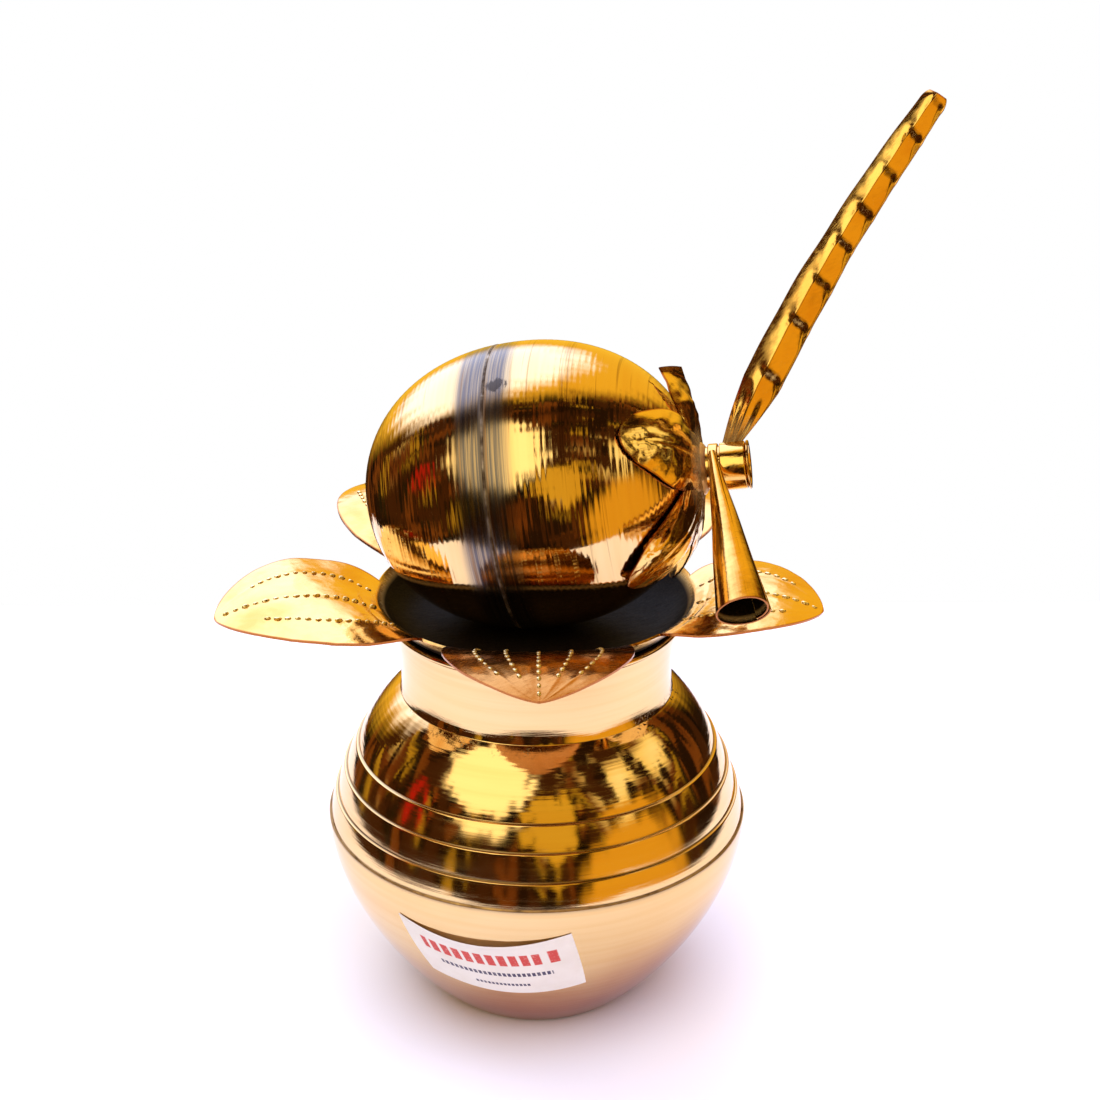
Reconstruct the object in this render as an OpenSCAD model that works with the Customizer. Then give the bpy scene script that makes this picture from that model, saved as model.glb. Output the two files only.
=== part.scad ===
// Brass kalash: a spun water pot, a crown of five sheet-brass mango leaves that sits in
// its mouth, and a hollow brass coconut that lies in the crown's dish.
// Millimetres, +Z up, origin at the centre of the face that the pot stands on.

/* [Pot] */
// Largest radius of the belly, at the top edge of the lower bowl
belly_r = 51; // [50:0.25:52]
// Radius of the flat that the pot stands on
foot_r = 25.5; // [23:0.5:28]
// Height of the lap where the lower bowl meets the upper shell
lap_z = 47.4; // [46:0.2:48]
// Height of the rim
rim_z = 99; // [99:0.1:99.2]
// Outer radius of the rolled rim
rim_r = 35; // [34.8:0.05:35]
// Thickness of the spun sheet
pot_wall = 0.9; // [0.7:0.05:1.1]
// How far each turned band stands out from the one above it
band_step = 0.6; // [0.3:0.1:0.8]
// How far a band swells between its two edges
band_swell = 0.3; // [0.2:0.05:0.6]

/* [Label] */
// Width of the paper label on the lower bowl
label_w = 42; // [30:1:46]
// Height of the paper label
label_h = 19.5; // [14:0.5:22]
// Direction that the label faces, counted from +X
label_turn = -102; // [-130:1:-60]

/* [Leaf crown] */
// Thickness of the stamped sheet
crown_sheet = 0.6; // [0.5:0.05:0.7]
// Radius of the edge between two leaves
crown_r = 38; // [37:0.25:39]
// Height of that edge
crown_z = 105; // [104:0.25:106]
// Distance from the pot's axis to each leaf's tip, counted round from the front leaf
leaf_reach = [67, 68, 74, 74, 76.5];
// Height that each leaf arches above the crown's edge
leaf_rise = [10.3, 8.3, 9.5, 10, 10.2];
// Half of a leaf's width at its widest
leaf_half_w = 21; // [18:0.5:22]
// Direction of the front leaf, counted from +X
front_leaf_turn = -88; // [-95:1:-85]

/* [Coconut] */
// Radius of the coconut
nut_r = 33.2; // [32:0.1:33.3]
// Distance from its middle to the blunt end
nut_blunt = 39.2; // [37:0.2:41]
// Distance from its middle to the stem end
nut_stem = 37.9; // [37:0.1:38]
// Thickness of the spun sheet
nut_wall = 0.5; // [0.4:0.05:0.6]
// Place of the soldered seam along its axis
seam_x = -5.4; // [-10:0.2:0]
// How far the stem end is raised
nut_pitch = 8.3; // [7:0.1:9]
// How far the stem end is turned to the front
nut_yaw = 7.25; // [5:0.25:10]

/* [Stem and its two tails] */
// Outer radius of the rolled stem tube
tube_r = 4.8; // [4.6:0.1:5]
// Place of the tube's flanged end along the coconut's axis
tube_end = 49.8; // [49.6:0.1:50]
// Radial clearance of the two sheet loops on the tube
loop_gap = 0.06; // [0.03:0.01:0.09]
// Length of the rolled cone
cone_len = 43.4; // [38:0.2:45]
// Outer radius of the cone's mouth
cone_r = 6.3; // [5.5:0.1:6.6]
// Angle of the cone below the level of the stem
cone_dip = 34; // [28:1:36]
// Length of the long leaf
long_leaf_len = 89; // [80:1:92]
// Half of the long leaf's width
long_leaf_half_w = 4.7; // [4.4:0.1:5.4]
// Angle of the long leaf away from square to the stem
long_leaf_splay = 36; // [30:1:40]
// How far the long leaf leans back
long_leaf_lean = 17; // [10:1:20]

/* [Hidden] */
$fn = 96;

brass = [0.86, 0.66, 0.30];
braze = [0.55, 0.40, 0.20];
paper = [0.93, 0.90, 0.86];

// Pot: edges of the turned bands, from the lap up, and the neck
band_edge_r = [belly_r + 0.1, belly_r - 1.9, belly_r - 4.2, belly_r - 7.3];
band_edge_z = [lap_z + 0.1, lap_z + 6, lap_z + 12.3, lap_z + 18];
lap_depth = 4;
lap_gap = 0.45;
crease = [32.7, 79.8];
bead_r = 0.9;
bead_centre = [rim_r - bead_r, rim_z - bead_r];
label_mid_z = 31;
label_tilt = 3;
label_t = 0.18;

// Crown
leaf_count = 5;
leaf_root_half_w = 16.5;
leaf_camber = 1.8;
// rise of each leaf's left edge, looking outwards, over its half width
leaf_roll = [0, 0.03, 0, 0, -0.12];
// turn of each leaf away from its even place
leaf_turn = [-1.5, 0, 0, 0, 0];
leaf_sag = 6;
leaf_steps = 14;
leaf_strips = 8;
dish_z = 96.2;
dish_flat_r = 18;
leaf_drop = 0.7;

// Coconut
nut_centre = [-0.2, 0, 130.45];
nut_power = 2.1;
seam_half_w = 0.35;
seam_stands_out = 0.12;
hub_r = 7.2;
lobe_root = 10.5;
lobe_gap = 0.7;
lobe_sheet = 0.5;
lobe_half_w = 9.5;
// direction round the stem from the front, reach along the coconut, stand-off at the tip
lobes = [[111, 36, 7.5], [39, 53, 0.6], [-33, 57, 1.4], [-105, 46, 5], [183, 44, 4]];

// Stem
strap_x = [40.6, 42.8];
sleeve_x = [43.2, 48.9];
tube_wall = 0.6;
tube_fit = 0.02;
flange_r = 5.6;
flange_t = 0.7;
loop_t = 0.6;
leaf_foot_half_w = 2.2;
long_leaf_sheet = 0.7;
cone_tip_r = 0.75;
cone_splay = 7.6;
cone_wall = 0.45;

// Points on a cubic curve from a to d, steered by b and c
function curve(a, b, c, d, n) = [for (i = [0:n]) let (t = i / n, u = 1 - t)
    u * u * u * a + 3 * u * u * t * b + 3 * u * t * t * c + t * t * t * d];

// The same line moved sideways by gap, to the left of its direction
function beside(line, gap) = [for (i = [0:len(line) - 1])
    let (
        last = len(line) - 1,
        along = line[min(i + 1, last)] - line[max(i - 1, 0)],
        size = norm(along)
    )
    line[i] + gap * [-along[1], along[0]] / size];

function reversed(line) = [for (i = [len(line) - 1:-1:0]) line[i]];

function arc(centre, radius, from, to, n) = [for (i = [0:n])
    let (a = from + (to - from) * i / n)
    centre + radius * [cos(a), sin(a)]];

// A swelling line between two points of a profile
function swollen(a, b, swell, n) = [for (i = [0:n])
    let (t = i / n, along = (b - a) / norm(b - a))
    a + t * (b - a) + swell * 4 * t * (1 - t) * [along[1], -along[0]]];

function bowl_line() = curve([foot_r, 0], [36, 9], [belly_r, 30], [belly_r, lap_z], 28);

// Radius of the coconut at a place x along its axis
function nut_radius(x, end) = nut_r * pow(max(0, 1 - pow(abs(x) / end, nut_power)), 1 / nut_power);

// A closed solid between two grids of points, given as rows of equal length
module sheet_solid(upper, lower) {
    rows = len(upper);
    cols = len(upper[0]);
    points = concat([for (row = upper) for (p = row) p], [for (row = lower) for (p = row) p]);
    under = rows * cols;
    function at(i, j) = i * cols + j;
    top = [for (i = [0:rows - 2]) for (j = [0:cols - 2]) for (f = [
        [at(i, j), at(i + 1, j), at(i + 1, j + 1)],
        [at(i, j), at(i + 1, j + 1), at(i, j + 1)]]) f];
    bottom = [for (f = top) [f[2] + under, f[1] + under, f[0] + under]];
    rim = concat(
        [for (j = [0:cols - 1]) at(0, j)],
        [for (i = [1:rows - 1]) at(i, cols - 1)],
        [for (j = [cols - 2:-1:0]) at(rows - 1, j)],
        [for (i = [rows - 2:-1:1]) at(i, 0)]);
    sides = [for (k = [0:len(rim) - 1]) let (a = rim[k], b = rim[(k + 1) % len(rim)])
        for (f = [[a, b, b + under], [a, b + under, a + under]]) f];
    polyhedron(points = points, faces = concat(top, bottom, sides));
}

// Coconut frame: +X runs along its axis to the stem
module at_nut() {
    translate(nut_centre) rotate([0, -nut_pitch, -nut_yaw]) children();
}

module ring_on_x(from, to, outer, inner) {
    translate([from, 0, 0]) rotate([0, 90, 0]) difference() {
        cylinder(h = to - from, r = outer);
        translate([0, 0, -1]) cylinder(h = to - from + 2, r = inner);
    }
}

module spun_on_x(profile) {
    rotate([0, 90, 0]) rotate_extrude() polygon(profile);
}

// Spun lower half of the pot, flat where it stands
module lower_bowl() {
    outer = bowl_line();
    inner = beside(outer, pot_wall);
    color(brass) rotate_extrude() polygon(concat([[0, 0]], outer,
        [[belly_r - pot_wall, lap_z]], reversed([for (p = inner) if (p[1] < lap_z - 1) p]),
        [[0, pot_wall]]));
}

// Spun upper half: lap flange, three turned bands, shoulder, neck and rolled rim
module upper_shell() {
    flange_out = belly_r - pot_wall - lap_gap;
    foot_z = lap_z - lap_depth;
    bands = [for (k = [0:2]) for (p = swollen(
        [band_edge_r[k] - band_step, band_edge_z[k]],
        [band_edge_r[k + 1], band_edge_z[k + 1]], band_swell, 8)) p];
    shoulder = curve([band_edge_r[3] - band_step, band_edge_z[3]], [41.2, 70.6], [36.6, 76.6],
        crease, 14);
    neck = curve(crease, [31.8, 84], [32.6, 92], bead_centre + [0.2, -bead_r], 14);
    rim = arc(bead_centre, bead_r, -60, 200, 12);
    inside_top = [rim_r - 2 * bead_r - 0.5, rim_z - 2.6];
    inside_neck = beside(neck, pot_wall);
    inside_shoulder = beside(shoulder, pot_wall);
    inside_bands = [for (k = [3:-1:1])
        [band_edge_r[k] - band_step - pot_wall - 0.3, band_edge_z[k] - 0.5]];
    color(brass) rotate_extrude() polygon(concat(
        [[flange_out, foot_z], [flange_out, lap_z + 0.1]],
        bands, shoulder, [for (i = [1:len(neck) - 1]) neck[i]], rim, [inside_top],
        [for (i = [len(neck) - 3:-1:2]) inside_neck[i]],
        [for (i = [len(shoulder) - 3:-1:1]) inside_shoulder[i]],
        inside_bands,
        [[flange_out - pot_wall, lap_z], [flange_out - pot_wall, foot_z]]));
}

// Braze that fills the lap between the two spun halves and shows as a thin line outside
module belly_braze() {
    flange_out = belly_r - pot_wall - lap_gap;
    band_out = band_edge_r[0] - band_step;
    inner = beside(bowl_line(), pot_wall);
    behind_lip = [for (p = inner) if (p[1] > lap_z - lap_depth + 0.3 && p[1] < lap_z - 1) p];
    color(braze) rotate_extrude() polygon(concat(
        [[flange_out, behind_lip[0][1]]], [for (p = behind_lip) p - [0.01, 0]],
        [[belly_r - pot_wall, lap_z], [band_out + 0.32, lap_z],
        [band_out, lap_z + 0.4], [band_out, lap_z + 0.1], [flange_out, lap_z + 0.1]]));
}

// Paper label stuck to the lower bowl
module paper_label() {
    line = bowl_line();
    over = beside(line, -label_t);
    color(paper) intersection() {
        rotate_extrude() polygon(concat(line, reversed(over)));
        rotate([0, 0, label_turn]) translate([30, 0, label_mid_z]) rotate([label_tilt, 18, 0])
            translate([0, -label_w / 2, -label_h / 2]) cube([40, label_w, label_h]);
    }
}

// Half of a leaf's width at a share t of its length
function leaf_width(t) = max(0.7, leaf_half_w * pow(sin(180 * (0.27 + 0.73 * t)), 0.68)
    - (1 - t) * (1 - t) * (leaf_half_w * 0.8 - leaf_root_half_w));

function leaf_point(t, k, reach, rise, roll) = let (
        v = k * leaf_width(t),
        root_r = crown_r - 0.5
    )
    [(1 - t) * sqrt(root_r * root_r - v * v) + t * reach,
     v,
     crown_z - leaf_drop + rise * (1 - pow(1 - t, 2.5)) - leaf_sag * pow(t, 2.2)
         - leaf_camber * pow(v / leaf_half_w, 2) * min(1, 3 * t) + roll * v * min(1, 2 * t)];

module mango_leaf(reach, rise, roll) {
    top = [for (i = [0:leaf_steps]) [for (j = [0:leaf_strips])
        leaf_point(i / leaf_steps, 1 - 2 * j / leaf_strips, reach, rise, roll)]];
    bottom = [for (row = top) [for (p = row) p - [0, 0, crown_sheet]]];
    sheet_solid(top, bottom);
}

// Stamped crown: a shallow dish that sits in the pot's mouth, and five mango leaves
module leaf_crown() {
    under = concat([[0, dish_z]], curve([dish_flat_r, dish_z], [30.4, dish_z], [34.1, 98],
        [crown_r, crown_z - leaf_drop], 16));
    over = beside(under, crown_sheet);
    color(brass) union() {
        rotate_extrude() polygon(concat(under, reversed([for (i = [1:len(over) - 1]) over[i]]),
            [[0, dish_z + crown_sheet]]));
        for (i = [0:leaf_count - 1])
            rotate([0, 0, front_leaf_turn + 360 / leaf_count * i + leaf_turn[i]])
                mango_leaf(leaf_reach[i], leaf_rise[i], leaf_roll[i]);
    }
}

// Spun half of the coconut with the closed, blunt end
module coconut_blunt_half() {
    n = 26;
    far = asin(abs(seam_x) / nut_blunt);
    outer = [for (i = [0:n]) let (a = far + (90 - far) * i / n, x = -nut_blunt * sin(a))
        [i == n ? 0 : nut_radius(x, nut_blunt), x - (i == 0 ? seam_half_w : 0)]];
    inner = [for (i = [0:n]) let (a = far + (90 - far) * i / n, x = -(nut_blunt - nut_wall) * sin(a))
        [i == n ? 0 : nut_radius(x * nut_blunt / (nut_blunt - nut_wall), nut_blunt)
            * (1 - nut_wall / nut_r), x - (i == 0 ? seam_half_w + nut_wall * 0.3 : 0)]];
    color(brass) at_nut() spun_on_x(concat(outer, reversed(inner)));
}

// Spun half of the coconut with the hole for the stem
module coconut_stem_half() {
    n = 28;
    near = asin(seam_x / nut_stem);
    outer = [for (i = [0:n]) let (a = near + (90 - near) * i / n, x = nut_stem * sin(a))
        [max(nut_radius(x, nut_stem), tube_r + tube_fit), x]];
    kept = [for (p = outer) if (p[0] > tube_r + 0.1) p];
    inner = [for (p = kept) [p[0] * (1 - nut_wall / nut_r), p[1] * (1 - nut_wall / nut_stem)]];
    color(brass) at_nut() difference() {
        translate([seam_half_w, 0, 0]) spun_on_x(concat(kept, [[tube_r + tube_fit, nut_stem - 0.05]],
            [[tube_r + tube_fit, nut_stem - 0.05 - nut_wall]],
            reversed([for (p = inner) if (p[0] > tube_r + 0.1) p])));
        ring_on_x(30, 45, tube_r + tube_fit, 1);
    }
}

// Ring of solder that joins the two halves
module coconut_seam_solder() {
    r = nut_radius(seam_x, nut_blunt);
    color(braze) at_nut() ring_on_x(seam_x - seam_half_w + 0.01, seam_x + seam_half_w - 0.01,
        r + seam_stands_out, r - nut_wall);
}

function lobe_width(t) = max(0.6, lobe_half_w * pow(sin(180 * (0.12 + 0.88 * t)), 0.8));

function lobe_point(t, k, lobe, lift) = let (
        around = lobe_root + (lobe[1] - lobe_root) * t,
        x = (nut_stem + lobe_gap + lift) * cos(around),
        r = (nut_r + lobe_gap + lift) * sin(around) + lobe[2] * pow(t, 1.6),
        turn = lobe[0] + k * lobe_width(t) / r * 180 / PI
    )
    [x + seam_half_w, -r * cos(turn), r * sin(turn)];

// Five-lobed sheet calyx between the coconut and the stem
module calyx() {
    steps = 9;
    strips = 6;
    color(brass) at_nut() union() {
        ring_on_x(nut_stem + 0.45, nut_stem + 1, hub_r, tube_r + tube_fit);
        for (lobe = lobes)
            sheet_solid(
                [for (i = [0:steps]) [for (j = [0:strips])
                    lobe_point(i / steps, 2 * j / strips - 1, lobe, lobe_sheet)]],
                [for (i = [0:steps]) [for (j = [0:strips])
                    lobe_point(i / steps, 2 * j / strips - 1, lobe, 0)]]);
    }
}

// Rolled stem tube with a flange turned out at its free end
module stem_tube() {
    color(brass) at_nut() union() {
        ring_on_x(nut_stem - 3, tube_end, tube_r, tube_r - tube_wall);
        ring_on_x(tube_end - flange_t, tube_end, flange_r, tube_r - tube_wall);
    }
}

// Braze at the foot of the stem
module stem_braze_bead() {
    from = nut_stem + 1;
    color(braze) at_nut() spun_on_x([[tube_r, from], [tube_r + 1.3, from],
        [tube_r + 0.9, from + 0.6], [tube_r + 0.4, from + 1], [tube_r, from + 1.2]]);
}

function long_leaf_point(t, k, back) = let (
        grown = min(1, t * 6),
        half = leaf_foot_half_w + (long_leaf_half_w - leaf_foot_half_w) * grown - 1.7 * pow(t, 1.5),
        ridge = (0.5 + 1.9 * grown) * (1 - 0.3 * t) * (1 - abs(k)),
        splay = long_leaf_splay,
        turned = splay * grown,
        bow = 2.2 * sin(180 * t)
    )
    [sin(splay) * long_leaf_len * t + k * half * cos(turned) - bow * cos(splay),
     -ridge + back,
     cos(splay) * long_leaf_len * t - k * half * sin(turned) + bow * sin(splay)];

// Long crimped leaf of sheet, with a loop at its foot that turns on the stem
module long_leaf() {
    steps = 18;
    strips = 6;
    inner = tube_r + loop_gap;
    foot = [(sleeve_x[0] + sleeve_x[1]) / 2, 0.35, inner + 0.25];
    color(brass) at_nut() union() {
        ring_on_x(sleeve_x[0], sleeve_x[1], inner + loop_t, inner);
        rotate([-long_leaf_lean, 0, 0]) translate(foot) sheet_solid(
            [for (i = [0:steps]) [for (j = [0:strips])
                long_leaf_point(i / steps, 2 * j / strips - 1, -long_leaf_sheet)]],
            [for (i = [0:steps]) [for (j = [0:strips])
                long_leaf_point(i / steps, 2 * j / strips - 1, 0)]]);
    }
}

// Sheet rolled into a cone, with a narrow strap that loops over the stem
module rolled_cone() {
    inner = tube_r + loop_gap;
    strap_w = strap_x[1] - strap_x[0];
    lift = inner + loop_t + cone_tip_r - 0.1;
    hollow_from = 4;
    color(brass) at_nut() rotate([cone_dip, 0, 0]) union() {
        ring_on_x(strap_x[0], strap_x[1], inner + loop_t, inner);
        translate([strap_x[0], -4, inner + 0.15]) cube([strap_w, 4, 0.9]);
        translate([(strap_x[0] + strap_x[1]) / 2, 0, lift]) rotate([0, 0, cone_splay])
            rotate([90, 0, 0]) difference() {
                cylinder(h = cone_len, r1 = cone_tip_r, r2 = cone_r);
                translate([0, 0, hollow_from]) cylinder(h = cone_len - hollow_from + 0.01,
                    r1 = cone_tip_r + (cone_r - cone_tip_r) * hollow_from / cone_len - cone_wall,
                    r2 = cone_r - cone_wall);
            }
    }
}

lower_bowl();
upper_shell();
belly_braze();
paper_label();
leaf_crown();
coconut_blunt_half();
coconut_stem_half();
coconut_seam_solder();
calyx();
stem_tube();
stem_braze_bead();
long_leaf();
rolled_cone();
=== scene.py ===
"""Finished look of a brass kalash: spun pot, crown of mango leaves and hollow coconut."""

import logging
import math
from collections.abc import Callable, Iterable, Sequence
from dataclasses import dataclass, field
from enum import Enum

import bmesh
import bpy
import numpy as np
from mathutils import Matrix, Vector

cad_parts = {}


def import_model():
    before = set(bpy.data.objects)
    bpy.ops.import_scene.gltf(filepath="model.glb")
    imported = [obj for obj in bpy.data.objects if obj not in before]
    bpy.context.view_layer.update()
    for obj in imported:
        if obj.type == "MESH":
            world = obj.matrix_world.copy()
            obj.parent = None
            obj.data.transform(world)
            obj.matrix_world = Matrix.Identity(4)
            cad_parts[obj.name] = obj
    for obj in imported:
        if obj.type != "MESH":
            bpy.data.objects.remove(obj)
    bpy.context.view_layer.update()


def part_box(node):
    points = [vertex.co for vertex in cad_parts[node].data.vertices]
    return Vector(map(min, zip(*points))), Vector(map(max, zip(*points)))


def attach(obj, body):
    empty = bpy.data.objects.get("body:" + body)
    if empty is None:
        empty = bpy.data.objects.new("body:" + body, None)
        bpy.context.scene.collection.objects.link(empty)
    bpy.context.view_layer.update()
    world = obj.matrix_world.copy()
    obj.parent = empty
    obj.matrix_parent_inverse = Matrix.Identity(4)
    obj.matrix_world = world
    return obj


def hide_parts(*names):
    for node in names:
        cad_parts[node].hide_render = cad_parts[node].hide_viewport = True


MM = 0.001
Colour = tuple[float, float, float]
Pair = tuple[float, float]
Direction = tuple[float, float, float]

log = logging.getLogger("kalash")


class Body(Enum):
    """The bodies of the frame that a piece can ride on."""

    POT = "pot"
    CROWN = "crown"
    COCONUT = "coconut"
    LONG_LEAF = "long_leaf"
    CONE = "cone"


class Slot(Enum):
    """The record's material slots."""

    POT = "pot_brass"
    COCONUT = "coconut_brass"
    SHEET = "sheet_brass"
    BRAZE = "braze"
    PAPER = "paper"


# ---------------------------------------------------------------- lines and surfaces


def cubic(a: Pair, b: Pair, c: Pair, d: Pair, steps: int) -> np.ndarray:
    """Points on a cubic curve.

    Args:
        a: Where it starts.
        b: First steering point.
        c: Second steering point.
        d: Where it ends.
        steps: Number of stretches between the points.

    Returns:
        Array of steps + 1 points.
    """
    t = np.linspace(0.0, 1.0, steps + 1)[:, None]
    u = 1.0 - t
    a, b, c, d = (np.asarray(p, dtype=float) for p in (a, b, c, d))
    return u**3 * a + 3 * u * u * t * b + 3 * u * t * t * c + t**3 * d


def normals_2d(line: np.ndarray) -> np.ndarray:
    """Unit vectors to the left of a flat line's direction, one for each point."""
    along = np.gradient(line, axis=0)
    size = np.maximum(np.linalg.norm(along, axis=1, keepdims=True), 1e-12)
    along = along / size
    return np.stack([-along[:, 1], along[:, 0]], axis=1)


def beside(line: np.ndarray, gap: float) -> np.ndarray:
    """The same line moved by gap to the left of its direction."""
    return line + gap * normals_2d(line)


def even(line: np.ndarray, spacing: float) -> np.ndarray:
    """Resamples a flat line.

    Args:
        line: Its points.
        spacing: Distance wanted between the new points.

    Returns:
        Points at even distances along the line, ends kept.
    """
    length = np.concatenate([[0.0], np.cumsum(np.linalg.norm(np.diff(line, axis=0), axis=1))])
    count = max(2, int(round(length[-1] / spacing)) + 1)
    places = np.linspace(0.0, length[-1], count)
    return np.stack([np.interp(places, length, line[:, i]) for i in (0, 1)], axis=1)


def rippled(line: np.ndarray, pitch: float, depth: float, seed: int) -> np.ndarray:
    """Adds the shallow tool ripples of metal spinning to a profile.

    Args:
        line: Evenly spaced profile points.
        pitch: Distance between two ripples.
        depth: How far a ripple stands out.
        seed: Fixes the unevenness.

    Returns:
        The profile with ripples that fade out at both ends.
    """
    chance = np.random.default_rng(seed)
    step = float(np.linalg.norm(line[1] - line[0]))
    s = np.arange(len(line)) * step
    knots = np.arange(0.0, s[-1] + 3 * pitch, pitch)
    force = np.interp(s, knots, chance.uniform(0.35, 1.3, len(knots)))
    drift = np.interp(s, knots, np.cumsum(chance.normal(0.0, 0.22, len(knots))))
    fade = np.clip(np.minimum(s, s[-1] - s) / (2.0 * pitch), 0.0, 1.0)
    wave = np.sin(2 * math.pi * s / pitch + drift)
    return line - normals_2d(line) * (depth * wave * force * fade)[:, None]


def rounded(line: np.ndarray, radius: float, least_turn: float = 30.0) -> np.ndarray:
    """Rounds the sharp corners of a flat line.

    Args:
        line: Its points.
        radius: How far from a corner the rounding starts.
        least_turn: Corners that turn less than this, in degrees, stay.

    Returns:
        The line with four points for each rounded corner.
    """
    out = [line[0]]
    for before, here, after in zip(line[:-2], line[1:-1], line[2:]):
        a, b = here - before, after - here
        la, lb = np.linalg.norm(a), np.linalg.norm(b)
        if la < 1e-9 or lb < 1e-9:
            continue
        turn = math.degrees(math.acos(np.clip(np.dot(a, b) / la / lb, -1.0, 1.0)))
        if turn < least_turn:
            out.append(here)
            continue
        start = here - a / la * min(radius, la * 0.45)
        stop = here + b / lb * min(radius, lb * 0.45)
        for t in (0.0, 0.33, 0.67, 1.0):
            out.append((1 - t) ** 2 * start + 2 * t * (1 - t) * here + t * t * stop)
    out.append(line[-1])
    return np.array(out)


def spun(profile: np.ndarray, segments: int, sway: Callable | None = None) -> np.ndarray:
    """Turns a profile once round the Z axis.

    Args:
        profile: Points of radius and height.
        segments: Stretches round the axis.
        sway: Takes the angle and the height and gives an added radius.

    Returns:
        Grid of points, rows along the profile, the last column on the first.
    """
    angle = np.linspace(0.0, 2 * math.pi, segments + 1)
    angle[-1] = 0.0
    radius = np.repeat(profile[:, :1], segments + 1, axis=1)
    height = np.repeat(profile[:, 1:], segments + 1, axis=1)
    if sway is not None:
        turned = np.repeat(angle[None, :], len(profile), axis=0)
        radius = np.where(radius > 1e-9, radius + sway(turned, height), radius)
    return np.stack([radius * np.cos(angle), radius * np.sin(angle), height], axis=-1)


def upright_to_x(grid: np.ndarray) -> np.ndarray:
    """Lays a grid that was made round Z along X, heights becoming places along X."""
    return np.stack([grid[..., 2], grid[..., 0], grid[..., 1]], axis=-1)


def crumple(points: np.ndarray, size: float, depth: float, seed: int) -> np.ndarray:
    """Smooth uneven heights for hand-beaten sheet.

    Args:
        points: Places, in any number of dimensions along the last axis.
        size: Typical width of one dent.
        depth: Largest height.
        seed: Fixes the pattern.

    Returns:
        One height for each place.
    """
    chance = np.random.default_rng(seed)
    total = np.zeros(points.shape[:-1])
    for octave in range(4):
        direction = chance.normal(size=(5, points.shape[-1]))
        direction /= np.linalg.norm(direction, axis=1, keepdims=True)
        phase = chance.uniform(0, 2 * math.pi, 5)
        wave = np.sin(points @ direction.T * (2 * math.pi / size * 1.9**octave) + phase)
        total += wave.sum(axis=-1) / 5 * 0.55**octave
    return total / 2.0 * depth


class Surface:
    """Grids of points in millimetres that are welded where they meet."""

    def __init__(self) -> None:
        """Starts with nothing."""
        self.points: list[np.ndarray] = []
        self.faces: list[list[int]] = []
        self.marks: dict[str, list[np.ndarray]] = {}
        self.count = 0

    def grid(self, rows: np.ndarray, flip: bool = False, **marks: np.ndarray) -> "Surface":
        """Adds a grid.

        Args:
            rows: Array of rows, columns and coordinates.
            flip: Turns its faces over.
            marks: Named values at its points, such as how worn the metal is.

        Returns:
            The surface itself.
        """
        m, n = rows.shape[:2]
        at = np.arange(m * n).reshape(m, n) + self.count
        quads = np.stack([at[:-1, :-1], at[1:, :-1], at[1:, 1:], at[:-1, 1:]], axis=-1)
        quads = quads.reshape(-1, 4)
        self.faces += (quads[:, ::-1] if flip else quads).tolist()
        for name in sorted(set(self.marks) | set(marks)):
            held = self.marks.setdefault(name, [np.zeros(self.count)])
            held.append(np.broadcast_to(marks.get(name, 0.0), (m, n)).reshape(-1))
        self.points.append(rows.reshape(-1, 3))
        self.count += m * n
        return self

    def build(
        self,
        name: str,
        material: bpy.types.Material,
        wall: float = 0.0,
        sharp: float = 40.0,
        weld: float = 2e-4,
    ) -> bpy.types.Object:
        """Makes the closed object.

        Args:
            name: The piece's name.
            material: Its finish.
            wall: Thickness to give an open sheet, in millimetres, away from its front.
            sharp: Edges that turn more than this, in degrees, look sharp.
            weld: Points closer than this, in millimetres, become one.

        Returns:
            The object, at the origin, in metres.
        """
        mesh = bpy.data.meshes.new(name)
        mesh.from_pydata((np.concatenate(self.points) * MM).tolist(), [], self.faces)
        for mark, values in self.marks.items():
            layer = mesh.attributes.new(mark, "FLOAT", "POINT")
            layer.data.foreach_set("value", np.concatenate(values).astype(np.float32))
        bm = bmesh.new()
        bm.from_mesh(mesh)
        bmesh.ops.remove_doubles(bm, verts=bm.verts, dist=weld * MM)
        if wall:
            self._thicken(bm, wall * MM)
        bmesh.ops.recalc_face_normals(bm, faces=bm.faces)
        bm.to_mesh(mesh)
        bm.free()
        mesh.shade_smooth()
        mesh.set_sharp_from_angle(angle=math.radians(sharp))
        mesh.materials.append(material)
        obj = bpy.data.objects.new(name, mesh)
        bpy.context.scene.collection.objects.link(obj)
        return obj

    @staticmethod
    def _thicken(bm: bmesh.types.BMesh, wall: float) -> None:
        """Gives an open sheet a back and a rim.

        Args:
            bm: The sheet.
            wall: Its thickness, in metres.
        """
        bm.normal_update()
        layers = list(bm.verts.layers.float.values())
        rim = [edge.link_loops[0] for edge in bm.edges if edge.is_boundary]
        rim = [(loop.vert, loop.link_loop_next.vert) for loop in rim]
        fronts = list(bm.faces)
        back = {}
        for vert in list(bm.verts):
            twin = bm.verts.new(vert.co - vert.normal * wall)
            for layer in layers:
                twin[layer] = vert[layer]
            back[vert] = twin
        for face in fronts:
            bm.faces.new([back[vert] for vert in reversed(face.verts)])
        for a, b in rim:
            bm.faces.new((b, a, back[a], back[b]))


def install(
    obj: bpy.types.Object, body: Body, nodes: Iterable[str] = ()
) -> bpy.types.Object:
    """Puts a finished piece on its body.

    Args:
        obj: The piece.
        body: The body that it moves with.
        nodes: The CAD nodes that it stands for.

    Returns:
        The same piece.
    """
    if nodes:
        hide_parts(*nodes)
    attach(obj, body.value)
    log.info("%s: %d faces on %s", obj.name, len(obj.data.polygons), body.value)
    return obj


# ---------------------------------------------------------------- finishes


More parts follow.
